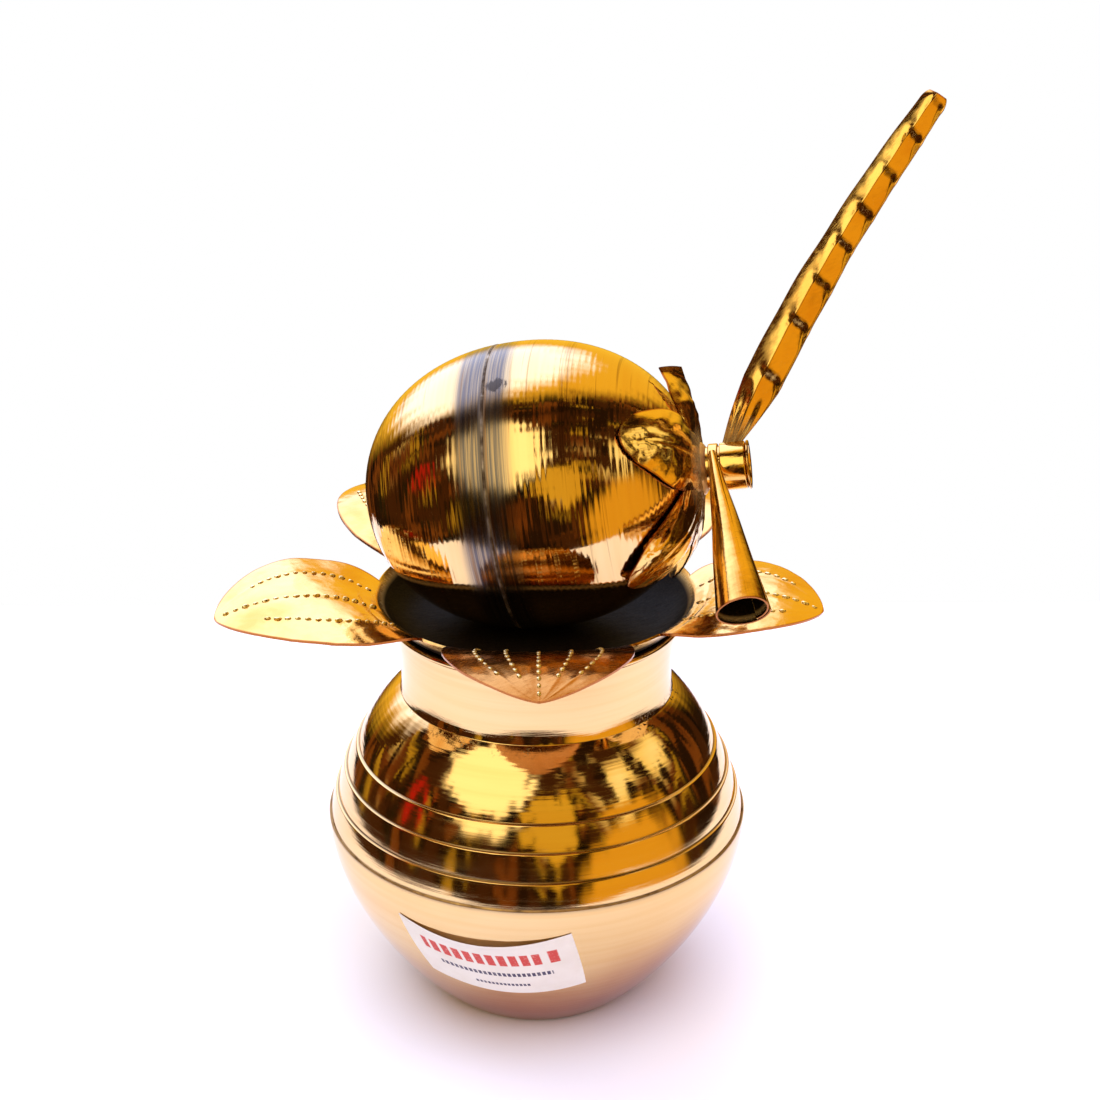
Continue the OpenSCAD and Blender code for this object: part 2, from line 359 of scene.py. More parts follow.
class Nodes:
    """Short way to write a node tree."""

    def __init__(self, tree: bpy.types.NodeTree) -> None:
        """Starts on a tree."""
        self.tree = tree

    def add(self, kind: str, inputs: dict | None = None, **settings: object) -> bpy.types.Node:
        """Adds a node.

        Args:
            kind: Its type's identifier.
            inputs: Values or sockets for its inputs, by name or number.
            settings: Properties to set on it.

        Returns:
            The node.
        """
        node = self.tree.nodes.new(kind)
        for key, value in settings.items():
            setattr(node, key, value)
        for key, value in (inputs or {}).items():
            self.feed(node.inputs[key], value)
        return node

    def feed(self, socket: bpy.types.NodeSocket, value: object) -> None:
        """Links a socket to a socket, or sets a plain value on it."""
        if isinstance(value, bpy.types.NodeSocket):
            self.tree.links.new(value, socket)
        elif isinstance(value, tuple) and len(value) == 3 and socket.type == "RGBA":
            socket.default_value = (*value, 1.0)
        else:
            socket.default_value = value

    def math(
        self, operation: str, a: object, b: object = 0.0, clamp: bool = False
    ) -> bpy.types.NodeSocket:
        """Output of a Math node on a and b."""
        node = self.add("ShaderNodeMath", {0: a, 1: b}, operation=operation, use_clamp=clamp)
        return node.outputs[0]

    def mix(self, share: object, a: object, b: object) -> bpy.types.NodeSocket:
        """Colour a mixed with colour b by share."""
        node = self.add("ShaderNodeMix", data_type="RGBA")
        for socket, value in ((node.inputs[0], share), (node.inputs[6], a), (node.inputs[7], b)):
            self.feed(socket, value)
        return node.outputs[2]

    def band(
        self, value: object, low: float, high: float, a: float = 0.0, b: float = 1.0
    ) -> bpy.types.NodeSocket:
        """Value from low to high spread smoothly over a to b."""
        node = self.add(
            "ShaderNodeMapRange",
            {0: value, 1: low, 2: high, 3: a, 4: b},
            interpolation_type="SMOOTHSTEP",
        )
        return node.outputs[0]

    def noise(
        self,
        coords: bpy.types.NodeSocket,
        scale: Sequence[float],
        detail: float = 3.0,
        rough: float = 0.5,
        shift: float = 0.0,
    ) -> bpy.types.NodeSocket:
        """Noise on coords stretched by scale, around 0.5."""
        stretched = self.add("ShaderNodeMapping", {0: coords}, vector_type="POINT")
        stretched.inputs["Scale"].default_value = scale
        stretched.inputs["Location"].default_value = (shift, shift * 0.7, shift * 1.3)
        node = self.add("ShaderNodeTexNoise", {"Vector": stretched.outputs[0]})
        node.inputs["Scale"].default_value = 1.0
        node.inputs["Detail"].default_value = detail
        node.inputs["Roughness"].default_value = rough
        return node.outputs["Fac"]


class Graph(Nodes):
    """A material's nodes."""

    def __init__(self, name: str) -> None:
        """Starts a material with one Principled shader."""
        self.material = bpy.data.materials.new(name)
        self.material.use_nodes = True
        super().__init__(self.material.node_tree)
        self.shader = next(n for n in self.tree.nodes if n.type == "BSDF_PRINCIPLED")

    def coords(self, centre: Sequence[float], turn: Sequence[float]) -> bpy.types.NodeSocket:
        """Object coordinates moved into a turned frame."""
        source = self.add("ShaderNodeTexCoord").outputs["Object"]
        node = self.add("ShaderNodeMapping", {0: source}, vector_type="TEXTURE")
        node.inputs["Location"].default_value = centre
        node.inputs["Rotation"].default_value = turn
        return node.outputs[0]

    def mark(self, name: str) -> bpy.types.NodeSocket:
        """A value carried by the piece's points."""
        return self.add("ShaderNodeAttribute", attribute_name=name).outputs["Fac"]

    def bump(
        self, height: object, distance: float, strength: float, under: object = None
    ) -> bpy.types.NodeSocket:
        """Normal from a height, on top of another normal if given."""
        inputs = {"Height": height, "Distance": distance, "Strength": strength}
        if under is not None:
            inputs["Normal"] = under
        return self.add("ShaderNodeBump", inputs).outputs[0]

    def shade(self, inputs: dict[str, object]) -> bpy.types.Material:
        """Feeds the shader's inputs by name and gives the material."""
        for name, value in inputs.items():
            self.feed(self.shader.inputs[name], value)
        return self.material


@dataclass(frozen=True)
class TurnedBrass:
    """Polished brass with fine tool lines round an axis."""

    name: str
    bright: Colour = (0.80, 0.57, 0.28)
    deep: Colour = (0.74, 0.47, 0.19)
    centre: tuple[float, float, float] = (0.0, 0.0, 0.0)
    turn: tuple[float, float, float] = (0.0, 0.0, 0.0)
    axis: int = 2
    line_pitch: float = 0.00045
    smooth: float = 0.03
    rough: float = 0.13
    lines: float = 0.35
    stain: Colour = (0.30, 0.21, 0.12)

    def stretch(self, across: float, along: float) -> tuple[float, float, float]:
        """Noise scale that is `across` round the axis and `along` on it."""
        scale = [across] * 3
        scale[self.axis] = along
        return tuple(scale)

    def make(self, extra: Callable | None = None) -> bpy.types.Material:
        """Makes the material.

        Args:
            extra: Takes the graph, the coordinates, the colour and the roughness, and
                returns the colour and roughness with local marks added.

        Returns:
            The material.
        """
        g = Graph(self.name)
        at = g.coords(self.centre, self.turn)
        fine = g.noise(at, self.stretch(30.0, 1 / self.line_pitch), 4.0, 0.6)
        coarse = g.noise(at, self.stretch(12.0, 0.22 / self.line_pitch), 3.0, 0.55, 3.1)
        cloud = g.noise(at, (26.0, 26.0, 26.0), 4.0, 0.55, 7.7)
        hair = g.noise(at, self.stretch(160.0, 5000.0), 2.0, 0.5, 11.0)
        colour = g.mix(g.band(coarse, 0.38, 0.68, 0.0, 0.45), self.bright, self.deep)
        colour = g.mix(g.band(cloud, 0.45, 0.75, 0.0, 0.35), colour, self.deep)
        grime = g.math("MULTIPLY", g.mark("grime"), g.band(cloud, 0.25, 0.6, 0.45, 1.0))
        colour = g.mix(grime, colour, self.stain)
        rough = g.band(fine, 0.3, 0.75, self.smooth, self.rough)
        rough = g.math("ADD", rough, g.band(cloud, 0.5, 0.8, 0.0, 0.08))
        rough = g.math("ADD", rough, g.math("MULTIPLY", grime, 0.3), clamp=True)
        if extra is not None:
            colour, rough = extra(g, at, colour, rough)
        height = g.math("ADD", g.math("MULTIPLY", coarse, 1.6), fine)
        normal = g.bump(height, 0.00004, self.lines)
        normal = g.bump(hair, 0.00001, self.lines, normal)
        return g.shade({
            "Base Color": colour, "Metallic": 1.0, "Roughness": rough, "Normal": normal,
        })


@dataclass(frozen=True)
class BeatenBrass:
    """Bright thin sheet with soft dents, scratches and coppery cut edges; a near-black coat paints shade in
    marked hollows.
    """

    name: str
    bright: Colour = (0.84, 0.58, 0.21)
    deep: Colour = (0.74, 0.42, 0.11)
    edge: Colour = (0.42, 0.14, 0.030)
    dent: float = 0.004
    strength: float = 0.5
    polish: Pair = (0.08, 0.22)
    scratches: float = 0.35
    # Specular level of the whole sheet; it sets the faint shine of the near-black painted-shade coat.
    grime_and_shade_shine: float = 0.02

    def make(self) -> bpy.types.Material:
        """Makes the material."""
        g = Graph(self.name)
        at = g.coords((0.0, 0.0, 0.0), (0.3, 0.2, 0.5))
        size = 1 / self.dent
        dents = g.noise(at, (size, size, size), 3.0, 0.55)
        cloud = g.noise(at, (60.0, 60.0, 60.0), 4.0, 0.6, 4.0)
        scratch = g.noise(at, (300.0, 3800.0, 900.0), 2.0, 0.5, 9.0)
        speck = g.noise(at, (2600.0, 2600.0, 2600.0), 2.0, 0.6, 2.0)
        colour = g.mix(g.band(cloud, 0.4, 0.72), self.bright, self.deep)
        # The coppery cut-edge colour; on the crown's front leaves it is also spread over the whole face as
        # painted shade.
        edge_wear_and_shade = g.band(g.mark("edge"), 0.35, 0.95)
        colour = g.mix(edge_wear_and_shade, colour, self.edge)
        # Near-black, almost non-metallic coat: painted shade in the crown's dish and inside the rolled
        # cone, and darkening at the calyx roots, the calyx hub and the long leaf's foot.
        grime = g.math("MULTIPLY", g.mark("grime"), g.band(speck, 0.3, 0.7, 0.985, 1.0))
        colour = g.mix(grime, colour, (0.004, 0.002, 0.001))
        rough = g.band(scratch, 0.35, 0.75, *self.polish)
        rough = g.math("ADD", rough, g.math("MULTIPLY", edge_wear_and_shade, 0.12))
        rough = g.math("ADD", rough, g.math("MULTIPLY", grime, 0.30), clamp=True)
        normal = g.bump(dents, self.dent * 0.06, self.strength)
        normal = g.bump(scratch, 0.00002, self.scratches, normal)
        metallic = g.math("SUBTRACT", 1.0, grime)
        return g.shade({
            "Base Color": colour, "Metallic": metallic, "Roughness": rough, "Normal": normal,
            "Specular IOR Level": self.grime_and_shade_shine,
        })


@dataclass(frozen=True)
class Braze:
    """Dull filler metal, darkened by flux and heat."""

    name: str
    metal: Colour = (0.52, 0.33, 0.14)
    burnt: Colour = (0.07, 0.045, 0.03)
    burnt_share: float = 0.5

    def make(self) -> bpy.types.Material:
        """Makes the material."""
        g = Graph(self.name)
        at = g.coords((0.0, 0.0, 0.0), (0.0, 0.0, 0.0))
        lumps = g.noise(at, (700.0, 700.0, 700.0), 4.0, 0.6)
        cloud = g.noise(at, (180.0, 180.0, 180.0), 3.0, 0.6, 5.0)
        share = g.band(cloud, self.burnt_share - 0.18, self.burnt_share + 0.12, 1.0, 0.0)
        return g.shade({
            "Base Color": g.mix(share, self.metal, self.burnt),
            "Metallic": 0.85,
            "Roughness": g.band(lumps, 0.3, 0.7, 0.28, 0.62),
            "Normal": g.bump(lumps, 0.0004, 0.6),
        })


@dataclass(frozen=True)
class PrintedPaper:
    """Matt white paper with plain printed bars that say nothing."""

    name: str
    white: Colour = (0.86, 0.83, 0.79)
    red: Colour = (0.62, 0.05, 0.04)
    dark: Colour = (0.05, 0.04, 0.10)

    def bar(
        self, g: Graph, u: object, v: object, box: Sequence[float], dash: float = 0.0
    ) -> bpy.types.NodeSocket:
        """Share of ink inside a printed bar.

        Args:
            g: The graph.
            u: Place along the label, 0 to 1.
            v: Place up the label, 0 to 1.
            box: The bar's ends along the label, then its lower and upper edge.
            dash: Number of dashes over the label's width, or 0 for a solid bar.

        Returns:
            Socket that is 1 on the ink.
        """
        edge = 0.004
        ink = g.band(u, box[0] - edge, box[0] + edge)
        ink = g.math("MULTIPLY", ink, g.band(u, box[1] - edge, box[1] + edge, 1.0, 0.0))
        ink = g.math("MULTIPLY", ink, g.band(v, box[2] - edge, box[2] + edge))
        ink = g.math("MULTIPLY", ink, g.band(v, box[3] - edge, box[3] + edge, 1.0, 0.0))
        if dash:
            wave = g.math("FRACT", g.math("MULTIPLY", u, dash))
            ink = g.math("MULTIPLY", ink, g.band(wave, 0.28, 0.36))
        return ink

    def make(self) -> bpy.types.Material:
        """Makes the material."""
        g = Graph(self.name)
        at = g.coords((0.0, 0.0, 0.0), (0.0, 0.0, 0.0))
        fibre = g.noise(at, (1500.0, 1500.0, 2300.0), 4.0, 0.65)
        blot = g.noise(at, (90.0, 90.0, 90.0), 3.0, 0.6, 6.0)
        u, v = g.mark("label_u"), g.mark("label_v")
        colour = g.mix(g.band(blot, 0.4, 0.7, 0.0, 0.5), self.white, (0.76, 0.70, 0.63))
        red = self.bar(g, u, v, (0.10, 0.80, 0.60, 0.80), 15.0)
        red = g.math("MAXIMUM", red, self.bar(g, u, v, (0.845, 0.90, 0.60, 0.82)))
        dark = self.bar(g, u, v, (0.16, 0.84, 0.38, 0.45), 34.0)
        dark = g.math("MAXIMUM", dark, self.bar(g, u, v, (0.33, 0.68, 0.17, 0.22), 40.0))
        worn = g.band(fibre, 0.25, 0.45, 0.55, 1.0)
        colour = g.mix(g.math("MULTIPLY", red, worn), colour, self.red)
        colour = g.mix(g.math("MULTIPLY", dark, worn), colour, self.dark)
        return g.shade({
            "Base Color": colour,
            "Roughness": g.band(fibre, 0.3, 0.7, 0.45, 0.62),
            "Normal": g.bump(fibre, 0.00005, 0.35),
        })


# ---------------------------------------------------------------- the pot


@dataclass
class Pot:
    """Two spun shells brazed together at the belly, and their paper label (millimetres)."""

    belly_r: float = 51.0
    foot_r: float = 25.5
    lap_z: float = 47.4
    lap_depth: float = 4.5
    lap_gap: float = 0.25
    rim_z: float = 99.0
    rim_r: float = 35.0
    wall: float = 0.9
    bead_r: float = 0.9
    step: float = 0.6
    swell: float = 0.12
    crease: Pair = (32.7, 79.8)
    segments: int = 256
    label_turns: tuple[Pair, Pair] = ((-124.0, -75.0), (-129.4, -81.2))
    label_low: float = 22.8
    label_high: float = 39.7
    label_bow: Pair = (3.4, 3.0)
    label_slant: float = 1.6
    label_gap: float = 0.14
    label_curl: float = 0.9
    label_wall: float = 0.11

    def __post_init__(self) -> None:
        """Takes the heights from the frame and works out the turned bands."""
        self.rim_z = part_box("upper_shell")[1][2] / MM
        self.lap_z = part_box("lower_bowl")[1][2] / MM
        r, z = self.belly_r, self.lap_z
        self.edges = [(r + 0.1, z + 0.1), (r - 1.9, z + 6), (r - 4.2, z + 12.3), (r - 7.3, z + 18)]

    def bowl_line(self, steps: int = 120) -> np.ndarray:
        """Outer profile of the bowl, from the foot up."""
        r = self.belly_r
        return cubic((self.foot_r, 0), (36, 9), (r, 30), (r, self.lap_z), steps)

    def finish(self) -> bpy.types.Material:
        """Makes the pot's metal, with dark pits along the neck's crease and painted shade near the foot."""

        def pits(g: Graph, at: object, colour: object, rough: object) -> tuple:
            """Adds casting pits in patches just over and under the crease, and a painted dark reflection of
            the shadowed floor near the foot, higher on the +X side.
            """
            place = g.add("ShaderNodeSeparateXYZ", {0: at}).outputs[2]
            off = g.math("ABSOLUTE", g.math("SUBTRACT", place, (self.crease[1] - 0.1) * MM))
            near = g.band(off, 0.0002, 0.0026, 1.0, 0.0)
            patch = g.band(g.noise(at, (55.0, 55.0, 30.0), 2.0, 0.5, 1.0), 0.50, 0.60)
            grain = g.noise(at, (1500.0, 1500.0, 1500.0), 2.0, 0.6, 8.0)
            pit = g.math("MULTIPLY", g.band(grain, 0.56, 0.61), g.math("MULTIPLY", near, patch))
            # Painted shade: a dark coppery colour near the foot stands in for the shadowed floor that it
            # reflects, reaching higher on the +X side.
            side = g.add("ShaderNodeSeparateXYZ", {0: at}).outputs[0]
            low = g.math("SUBTRACT", place, g.math("MULTIPLY", side, 0.14))
            low = g.math("ADD", low, g.math("MULTIPLY", g.noise(at, (35.0, 35.0, 60.0), 3.0), 0.012))
            painted_base_shade = g.band(low, 0.010, 0.040, 1.0, 0.0)
            colour = g.mix(painted_base_shade, colour, (0.36, 0.06, 0.008))
            colour = g.mix(pit, colour, (0.06, 0.03, 0.02))
            return colour, g.math("MAXIMUM", rough, g.math("MULTIPLY", pit, 0.6))

        return TurnedBrass("pot_turned_brass", lines=0.30).make(pits)

    def lower_bowl(self, metal: bpy.types.Material) -> None:
        """Spins the lower bowl, with a softened foot and a plain base."""
        outer = even(self.bowl_line(), 0.5)
        outer = rippled(outer, 1.9, 0.004, 5)
        inner = beside(self.bowl_line(60), self.wall)
        inner = inner[inner[:, 1] < self.lap_z - 1][::-1]
        base = np.array([(0.0, 0.25), (self.foot_r - 3.0, 0.12), (self.foot_r - 1.0, 0.0)])
        lip = np.array([(self.belly_r - 0.1, self.lap_z), (self.belly_r - self.wall, self.lap_z)])
        profile = np.concatenate([base, rounded(outer, 0.3), lip, inner, [(0.0, self.wall)]])
        # Darker over the lowest 6 mm of the foot, and just under the lap.
        low = np.clip((6.0 - profile[:, 1:]) / 6.0, 0.0, 1.0) * 0.35
        top = np.clip((profile[:, 1:] - self.lap_z + 0.7) / 0.7, 0.0, 1.0) * 0.8
        grid = spun(profile, self.segments, lambda a, _: 0.02 * np.sin(3 * a + 1))
        obj = Surface().grid(grid, grime=np.maximum(low, top)).build("pot_lower_bowl", metal)
        install(obj, Body.POT, ["lower_bowl"])

    def upper_shell(self, metal: bpy.types.Material) -> None:
        """Spins the lap, the three bands, the shoulder, the neck and the rolled rim."""
        flange = self.belly_r - self.wall - self.lap_gap
        foot_z = self.lap_z - self.lap_depth
        bands = []
        for low, high in zip(self.edges[:-1], self.edges[1:]):
            a, b = np.array([low[0] - self.step, low[1]]), np.array(high)
            along = (b - a) / np.linalg.norm(b - a)
            t = np.linspace(0, 1, 19)[:, None]
            bands.append(a + t * (b - a) + self.swell * 4 * t * (1 - t) * [along[1], -along[0]])
        top = (self.edges[3][0] - self.step, self.edges[3][1])
        shoulder = even(cubic(top, (41.2, 70.6), (36.6, 76.6), self.crease, 80), 0.16)
        shoulder = rippled(shoulder, 1.25, 0.0045, 3)
        bead = np.array([self.rim_r - self.bead_r, self.rim_z - self.bead_r])
        neck = cubic(self.crease, (31.8, 84), (32.6, 92), (bead[0] + 0.2, bead[1] - self.bead_r), 60)
        neck = rippled(even(neck, 0.4), 2.2, 0.006, 4)
        turn = np.radians(np.linspace(-60, 200, 16))
        rim = bead + self.bead_r * np.stack([np.cos(turn), np.sin(turn)], axis=1)
        inside = np.concatenate([
            [(self.rim_r - 2 * self.bead_r - 0.5, self.rim_z - 2.6)],
            beside(neck, self.wall)[-6:2:-4],
            beside(shoulder, self.wall)[-4:2:-5],
            [(r - self.step - self.wall - 0.3, z - 0.5) for r, z in self.edges[3:0:-1]],
            [(flange - self.wall, self.lap_z), (flange - self.wall, foot_z)],
        ])
        outside = np.concatenate([*bands, shoulder[1:], neck[1:], rim])
        profile = np.concatenate([
            [(flange, foot_z), (flange, self.lap_z + 0.1)],
            rounded(outside, 0.16), inside, [(flange, foot_z)],
        ])
        grime = np.zeros(len(profile))
        for radius, height in self.edges:
            gap = np.hypot(profile[:, 0] - radius + self.step, profile[:, 1] - height)
            grime = np.maximum(grime, np.clip(1 - gap / 0.5, 0, 1))
        grime[-len(inside):] = 0.5
        grid = spun(profile, self.segments, lambda a, z: 0.02 * np.sin(2 * a + z / 9))
        obj = Surface().grid(grid, grime=grime[:, None]).build("pot_upper_shell", metal, sharp=50)
        install(obj, Body.POT, ["upper_shell"])

    def braze(self, filler: bpy.types.Material) -> None:
        """Runs the uneven line of braze round the belly."""
        out, lip = self.belly_r - self.wall - self.lap_gap, self.belly_r - self.wall
        band = self.edges[0][0] - self.step
        z = self.lap_z
        line = [(out, z - 4), (lip, z - 4), (lip, z), (band + 0.34, z), (band + 0.22, z + 0.26),
                (band, z + 0.4), (band, z + 0.1), (out, z + 0.1), (out, z - 4)]

        def uneven(angle: np.ndarray, height: np.ndarray) -> np.ndarray:
            """Thickness of the line of braze round the pot."""
            ring = np.stack([np.cos(angle), np.sin(angle)], axis=-1) * 50
            return np.where(height > z - 0.01, crumple(ring, 9.0, 0.12, 6), 0.0)

        obj = Surface().grid(spun(np.array(line), self.segments, uneven)).build("pot_braze_line", filler)
        install(obj, Body.POT, ["belly_braze"])

    def label(self, paper: bpy.types.Material) -> None:
        """Lays the paper label on the bowl, with its upper edge lifted a little."""
        line = self.bowl_line(200)
        out = -normals_2d(line)
        u, v = np.meshgrid(np.linspace(0, 1, 73), np.linspace(0, 1, 37))
        (low_left, low_right), (high_left, high_right) = self.label_turns
        bow = 4 * u * (1 - u)
        angle = (1 - v) * (low_left + (low_right - low_left) * u) + v * (
            high_left + (high_right - high_left) * u)
        low = self.label_low - self.label_bow[0] * bow
        high = self.label_high + self.label_slant * u - self.label_bow[1] * bow
        height = (1 - v) * low + v * high
        r, nr, nz = (np.interp(height, line[:, 1], a) for a in (line[:, 0], out[:, 0], out[:, 1]))
        curled = np.clip((v - 0.72) / 0.28, 0, 1) ** 2 * np.sin(math.pi * u) ** 1.5
        lift = self.label_gap + self.label_curl * curled
        flat = np.stack([u * 42, v * 19], axis=-1)
        lift = lift + 0.03 * crumple(flat, 11.0, 1.0, 9)
        angle = np.radians(angle)
        r, z = r + nr * lift, height + nz * lift
        grid = np.stack([r * np.cos(angle), r * np.sin(angle), z], axis=-1)
        surface = Surface().grid(grid, label_u=u, label_v=v)
        obj = surface.build("pot_paper_label", paper, wall=self.label_wall)
        install(obj, Body.POT, ["paper_label"])

    def make(self) -> None:
        """Makes every piece of the pot."""
        metal = self.finish()
        self.lower_bowl(metal)
        self.upper_shell(metal)
        self.braze(Braze("pot_braze", burnt_share=0.42).make())
        self.label(PrintedPaper("label_paper").make())


# ---------------------------------------------------------------- the leaf crown


@dataclass(frozen=True)
class MangoLeaf:
    """One stamped leaf of the crown (millimetres, before it is turned to its place)."""

    reach: float
    rise: float
    rows: tuple[float, ...]
    seed: int
    half_width: float = 21.0
    root_half_width: float = 16.5
    root_r: float = 37.5
    root_z: float = 104.3
    sag: float = 6.0
    camber: float = 1.8
    roll: float = 0.0
    ridge: float = 0.10

    def width(self, t: np.ndarray) -> np.ndarray:
        """Half width at a share t of the length."""
        full = self.half_width * np.sin(math.pi * (0.27 + 0.73 * t)).clip(0, 1) ** 0.68
        return np.maximum(0.12, full - (1 - t) ** 2 * (self.half_width * 0.8 - self.root_half_width))

    def surface(self, t: np.ndarray, k: np.ndarray) -> np.ndarray:
        """Points of the leaf.

        Args:
            t: Share of the length, from the root.
            k: Share of the half width, -1 to 1.

        Returns:
            Their places.
        """
        v = k * self.width(t)
        x = (1 - t) * np.sqrt(self.root_r**2 - v * v) + t * self.reach
        z = self.root_z + self.rise * (1 - (1 - t) ** 2.5) - self.sag * t**2.2
        z = z - self.camber * (v / self.half_width) ** 2 * np.minimum(1, 3 * t)
        z = z + self.roll * v * np.minimum(1, 2 * t)
        free = np.clip(t * 4, 0, 1) * np.clip((1 - t) * 4, 0, 1)
        z = z - 0.25 * np.exp(-((v / 1.1) ** 2)) * free
        flat = np.stack([x, v], axis=-1)
        beaten = crumple(flat, 21.0, 0.35, self.seed) + crumple(flat, 3.4, 0.05, self.seed + 9)
        z = z + beaten * free
        for row in self.rows:
            off = (k - row * (1 - 0.25 * t**3)) * self.half_width
            z = z + self.ridge * np.exp(-((off / 0.9) ** 2)) * free
        z = z - 0.30 * np.exp(-(((t - 0.10) / 0.02) ** 2)) * (1 - k * k)
        return np.stack([x, v, z], axis=-1)

    def grid(self, steps: int = 84, strips: int = 64) -> tuple[np.ndarray, np.ndarray]:
        """The leaf as a grid, and how near its points are to the cut edge."""
        s = np.linspace(0, 1, steps + 1)
        t, k = np.meshgrid(1 - (1 - s) ** 1.35, np.linspace(1, -1, strips + 1), indexing="ij")
        to_edge = np.minimum((1 - np.abs(k)) * self.width(t), (1 - t) * (self.reach - self.root_r))
        return self.surface(t, k), np.clip(1 - to_edge / 1.0, 0, 1)

    def bead_rows(self) -> list[np.ndarray]:
        """Lines on the upper face that the punched beads follow."""
        lines = []
        for k in self.rows:
            first, last = (0.06, 0.93) if k == 0 else (0.05, 0.80 - 0.12 * abs(k))
            t = np.linspace(first, last, 60)
            lines.append(self.surface(t, k * (1 - 0.25 * t**3)))
        return lines


@dataclass
class LeafCrown:
    """Stamped sheet: a dish in the pot's mouth with five mango leaves round it."""

    sheet: float = 0.6
    leaf_count: int = 5
    front_turn: float = -88.0
    reach: tuple[float, ...] = (67, 68, 74, 74, 76.5)
    rise: tuple[float, ...] = (10.3, 8.3, 9.5, 10, 10.2)
    roll: tuple[float, ...] = (0, 0.03, 0, 0, -0.12)
    extra_turn: tuple[float, ...] = (-1.5, 0, 0, 0, 0)
    # Share of each leaf's face painted with the coppery edge colour as shade, the front leaf most.
    painted_leaf_shade: tuple[float, ...] = (0.76, 0.45, 0, 0, 0)
    leaves: list[MangoLeaf] = field(default_factory=list)

    def __post_init__(self) -> None:
        """Sets out the leaves."""
        self.floor_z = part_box("leaf_crown")[0][2] / MM + self.sheet
        for i, (reach, rise) in enumerate(zip(self.reach, self.rise)):
            rows = (0.0, 0.34, -0.34, 0.66, -0.66) if i == 0 else (0.0, 0.56, -0.56)
            self.leaves.append(MangoLeaf(reach, rise, rows, 20 + i, roll=self.roll[i]))

    def heading(self, index: int) -> float:
        """Direction of a leaf, in degrees from +X."""
        return self.front_turn + 360 / self.leaf_count * index + self.extra_turn[index]

    def turned(self, points: np.ndarray, index: int) -> np.ndarray:
        """Turns a leaf's points to its place round the crown."""
        a = math.radians(self.heading(index))
        turn = np.array([[math.cos(a), -math.sin(a), 0], [math.sin(a), math.cos(a), 0], [0, 0, 1]])
        return points @ turn.T

    def sheet_metal(self, metal: bpy.types.Material) -> None:
        """Makes the dish and the leaves as one welded sheet."""
        surface = Surface()
        headings: list[float] = []
        for i, leaf in enumerate(self.leaves):
            points, edge = leaf.grid()
            # Painted shade: the front leaf, and less the next, takes the coppery edge colour over its face,
            # standing in for the dark coconut and dish that it reflects.
            edge = np.maximum(edge, self.painted_leaf_shade[i])
            root = points[0]
            local = np.degrees(np.arctan2(root[::-1, 1], root[::-1, 0]))
            heading = self.heading(i)
            headings += (heading + local).tolist()
            next_leaf = self.heading((i + 1) % self.leaf_count) + 360 * (i + 1 == self.leaf_count)
            gap = next_leaf - heading - 2 * local[-1]
            headings += (heading + local[-1] + gap * np.linspace(0, 1, 10)[1:-1]).tolist()
            surface.grid(self.turned(points, i), flip=True, edge=edge)
        angle = np.radians(np.array(headings + [headings[0] + 360]))
        floor, leaf = self.floor_z, self.leaves[0]
        wall = cubic((18, floor), (30.0, floor), (33.4, floor + 1.6), (leaf.root_r, leaf.root_z), 26)
        profile = np.concatenate([[(0.0, floor), (6, floor), (12, floor)], wall])
        r, z = profile[:, :1], np.repeat(profile[:, 1:], len(angle), axis=1)
        z = z + crumple(np.stack([r * np.cos(angle), r * np.sin(angle)], -1), 15, 0.12, 8) * np.clip(
            (leaf.root_z - z) / 2, 0, 1)
        dish = np.stack([r * np.cos(angle), r * np.sin(angle), z], axis=-1)
        # Painted shade: the dish goes near black below the leaf roots, standing in for the dark coconut
        # above it that it reflects.
        painted_hollow_shade = np.clip((leaf.root_z - 0.2 - profile[:, 1:]) / 2.2, 0, 1)
        surface.grid(dish, grime=painted_hollow_shade)
        obj = surface.build("crown_sheet", metal, wall=self.sheet, sharp=60, weld=2e-3)
        install(obj, Body.CROWN, ["leaf_crown"])

    def beads(self, metal: bpy.types.Material) -> None:
        """Punches the rows of beads into the leaves."""
        lines = [self.turned(line, i) for i, leaf in enumerate(self.leaves) for line in leaf.bead_rows()]
        obj = BeadRows().along("crown_leaf_beads", lines, metal)
        install(obj, Body.CROWN)

    def make(self) -> None:
        """Makes the crown."""
        self.sheet_metal(BeatenBrass("leaf_sheet", dent=0.0035, strength=0.45).make())
        punched = BeatenBrass(
            "leaf_beads", bright=(0.97, 0.84, 0.52), deep=(0.95, 0.78, 0.40), polish=(0.26, 0.4))
        self.beads(punched.make())


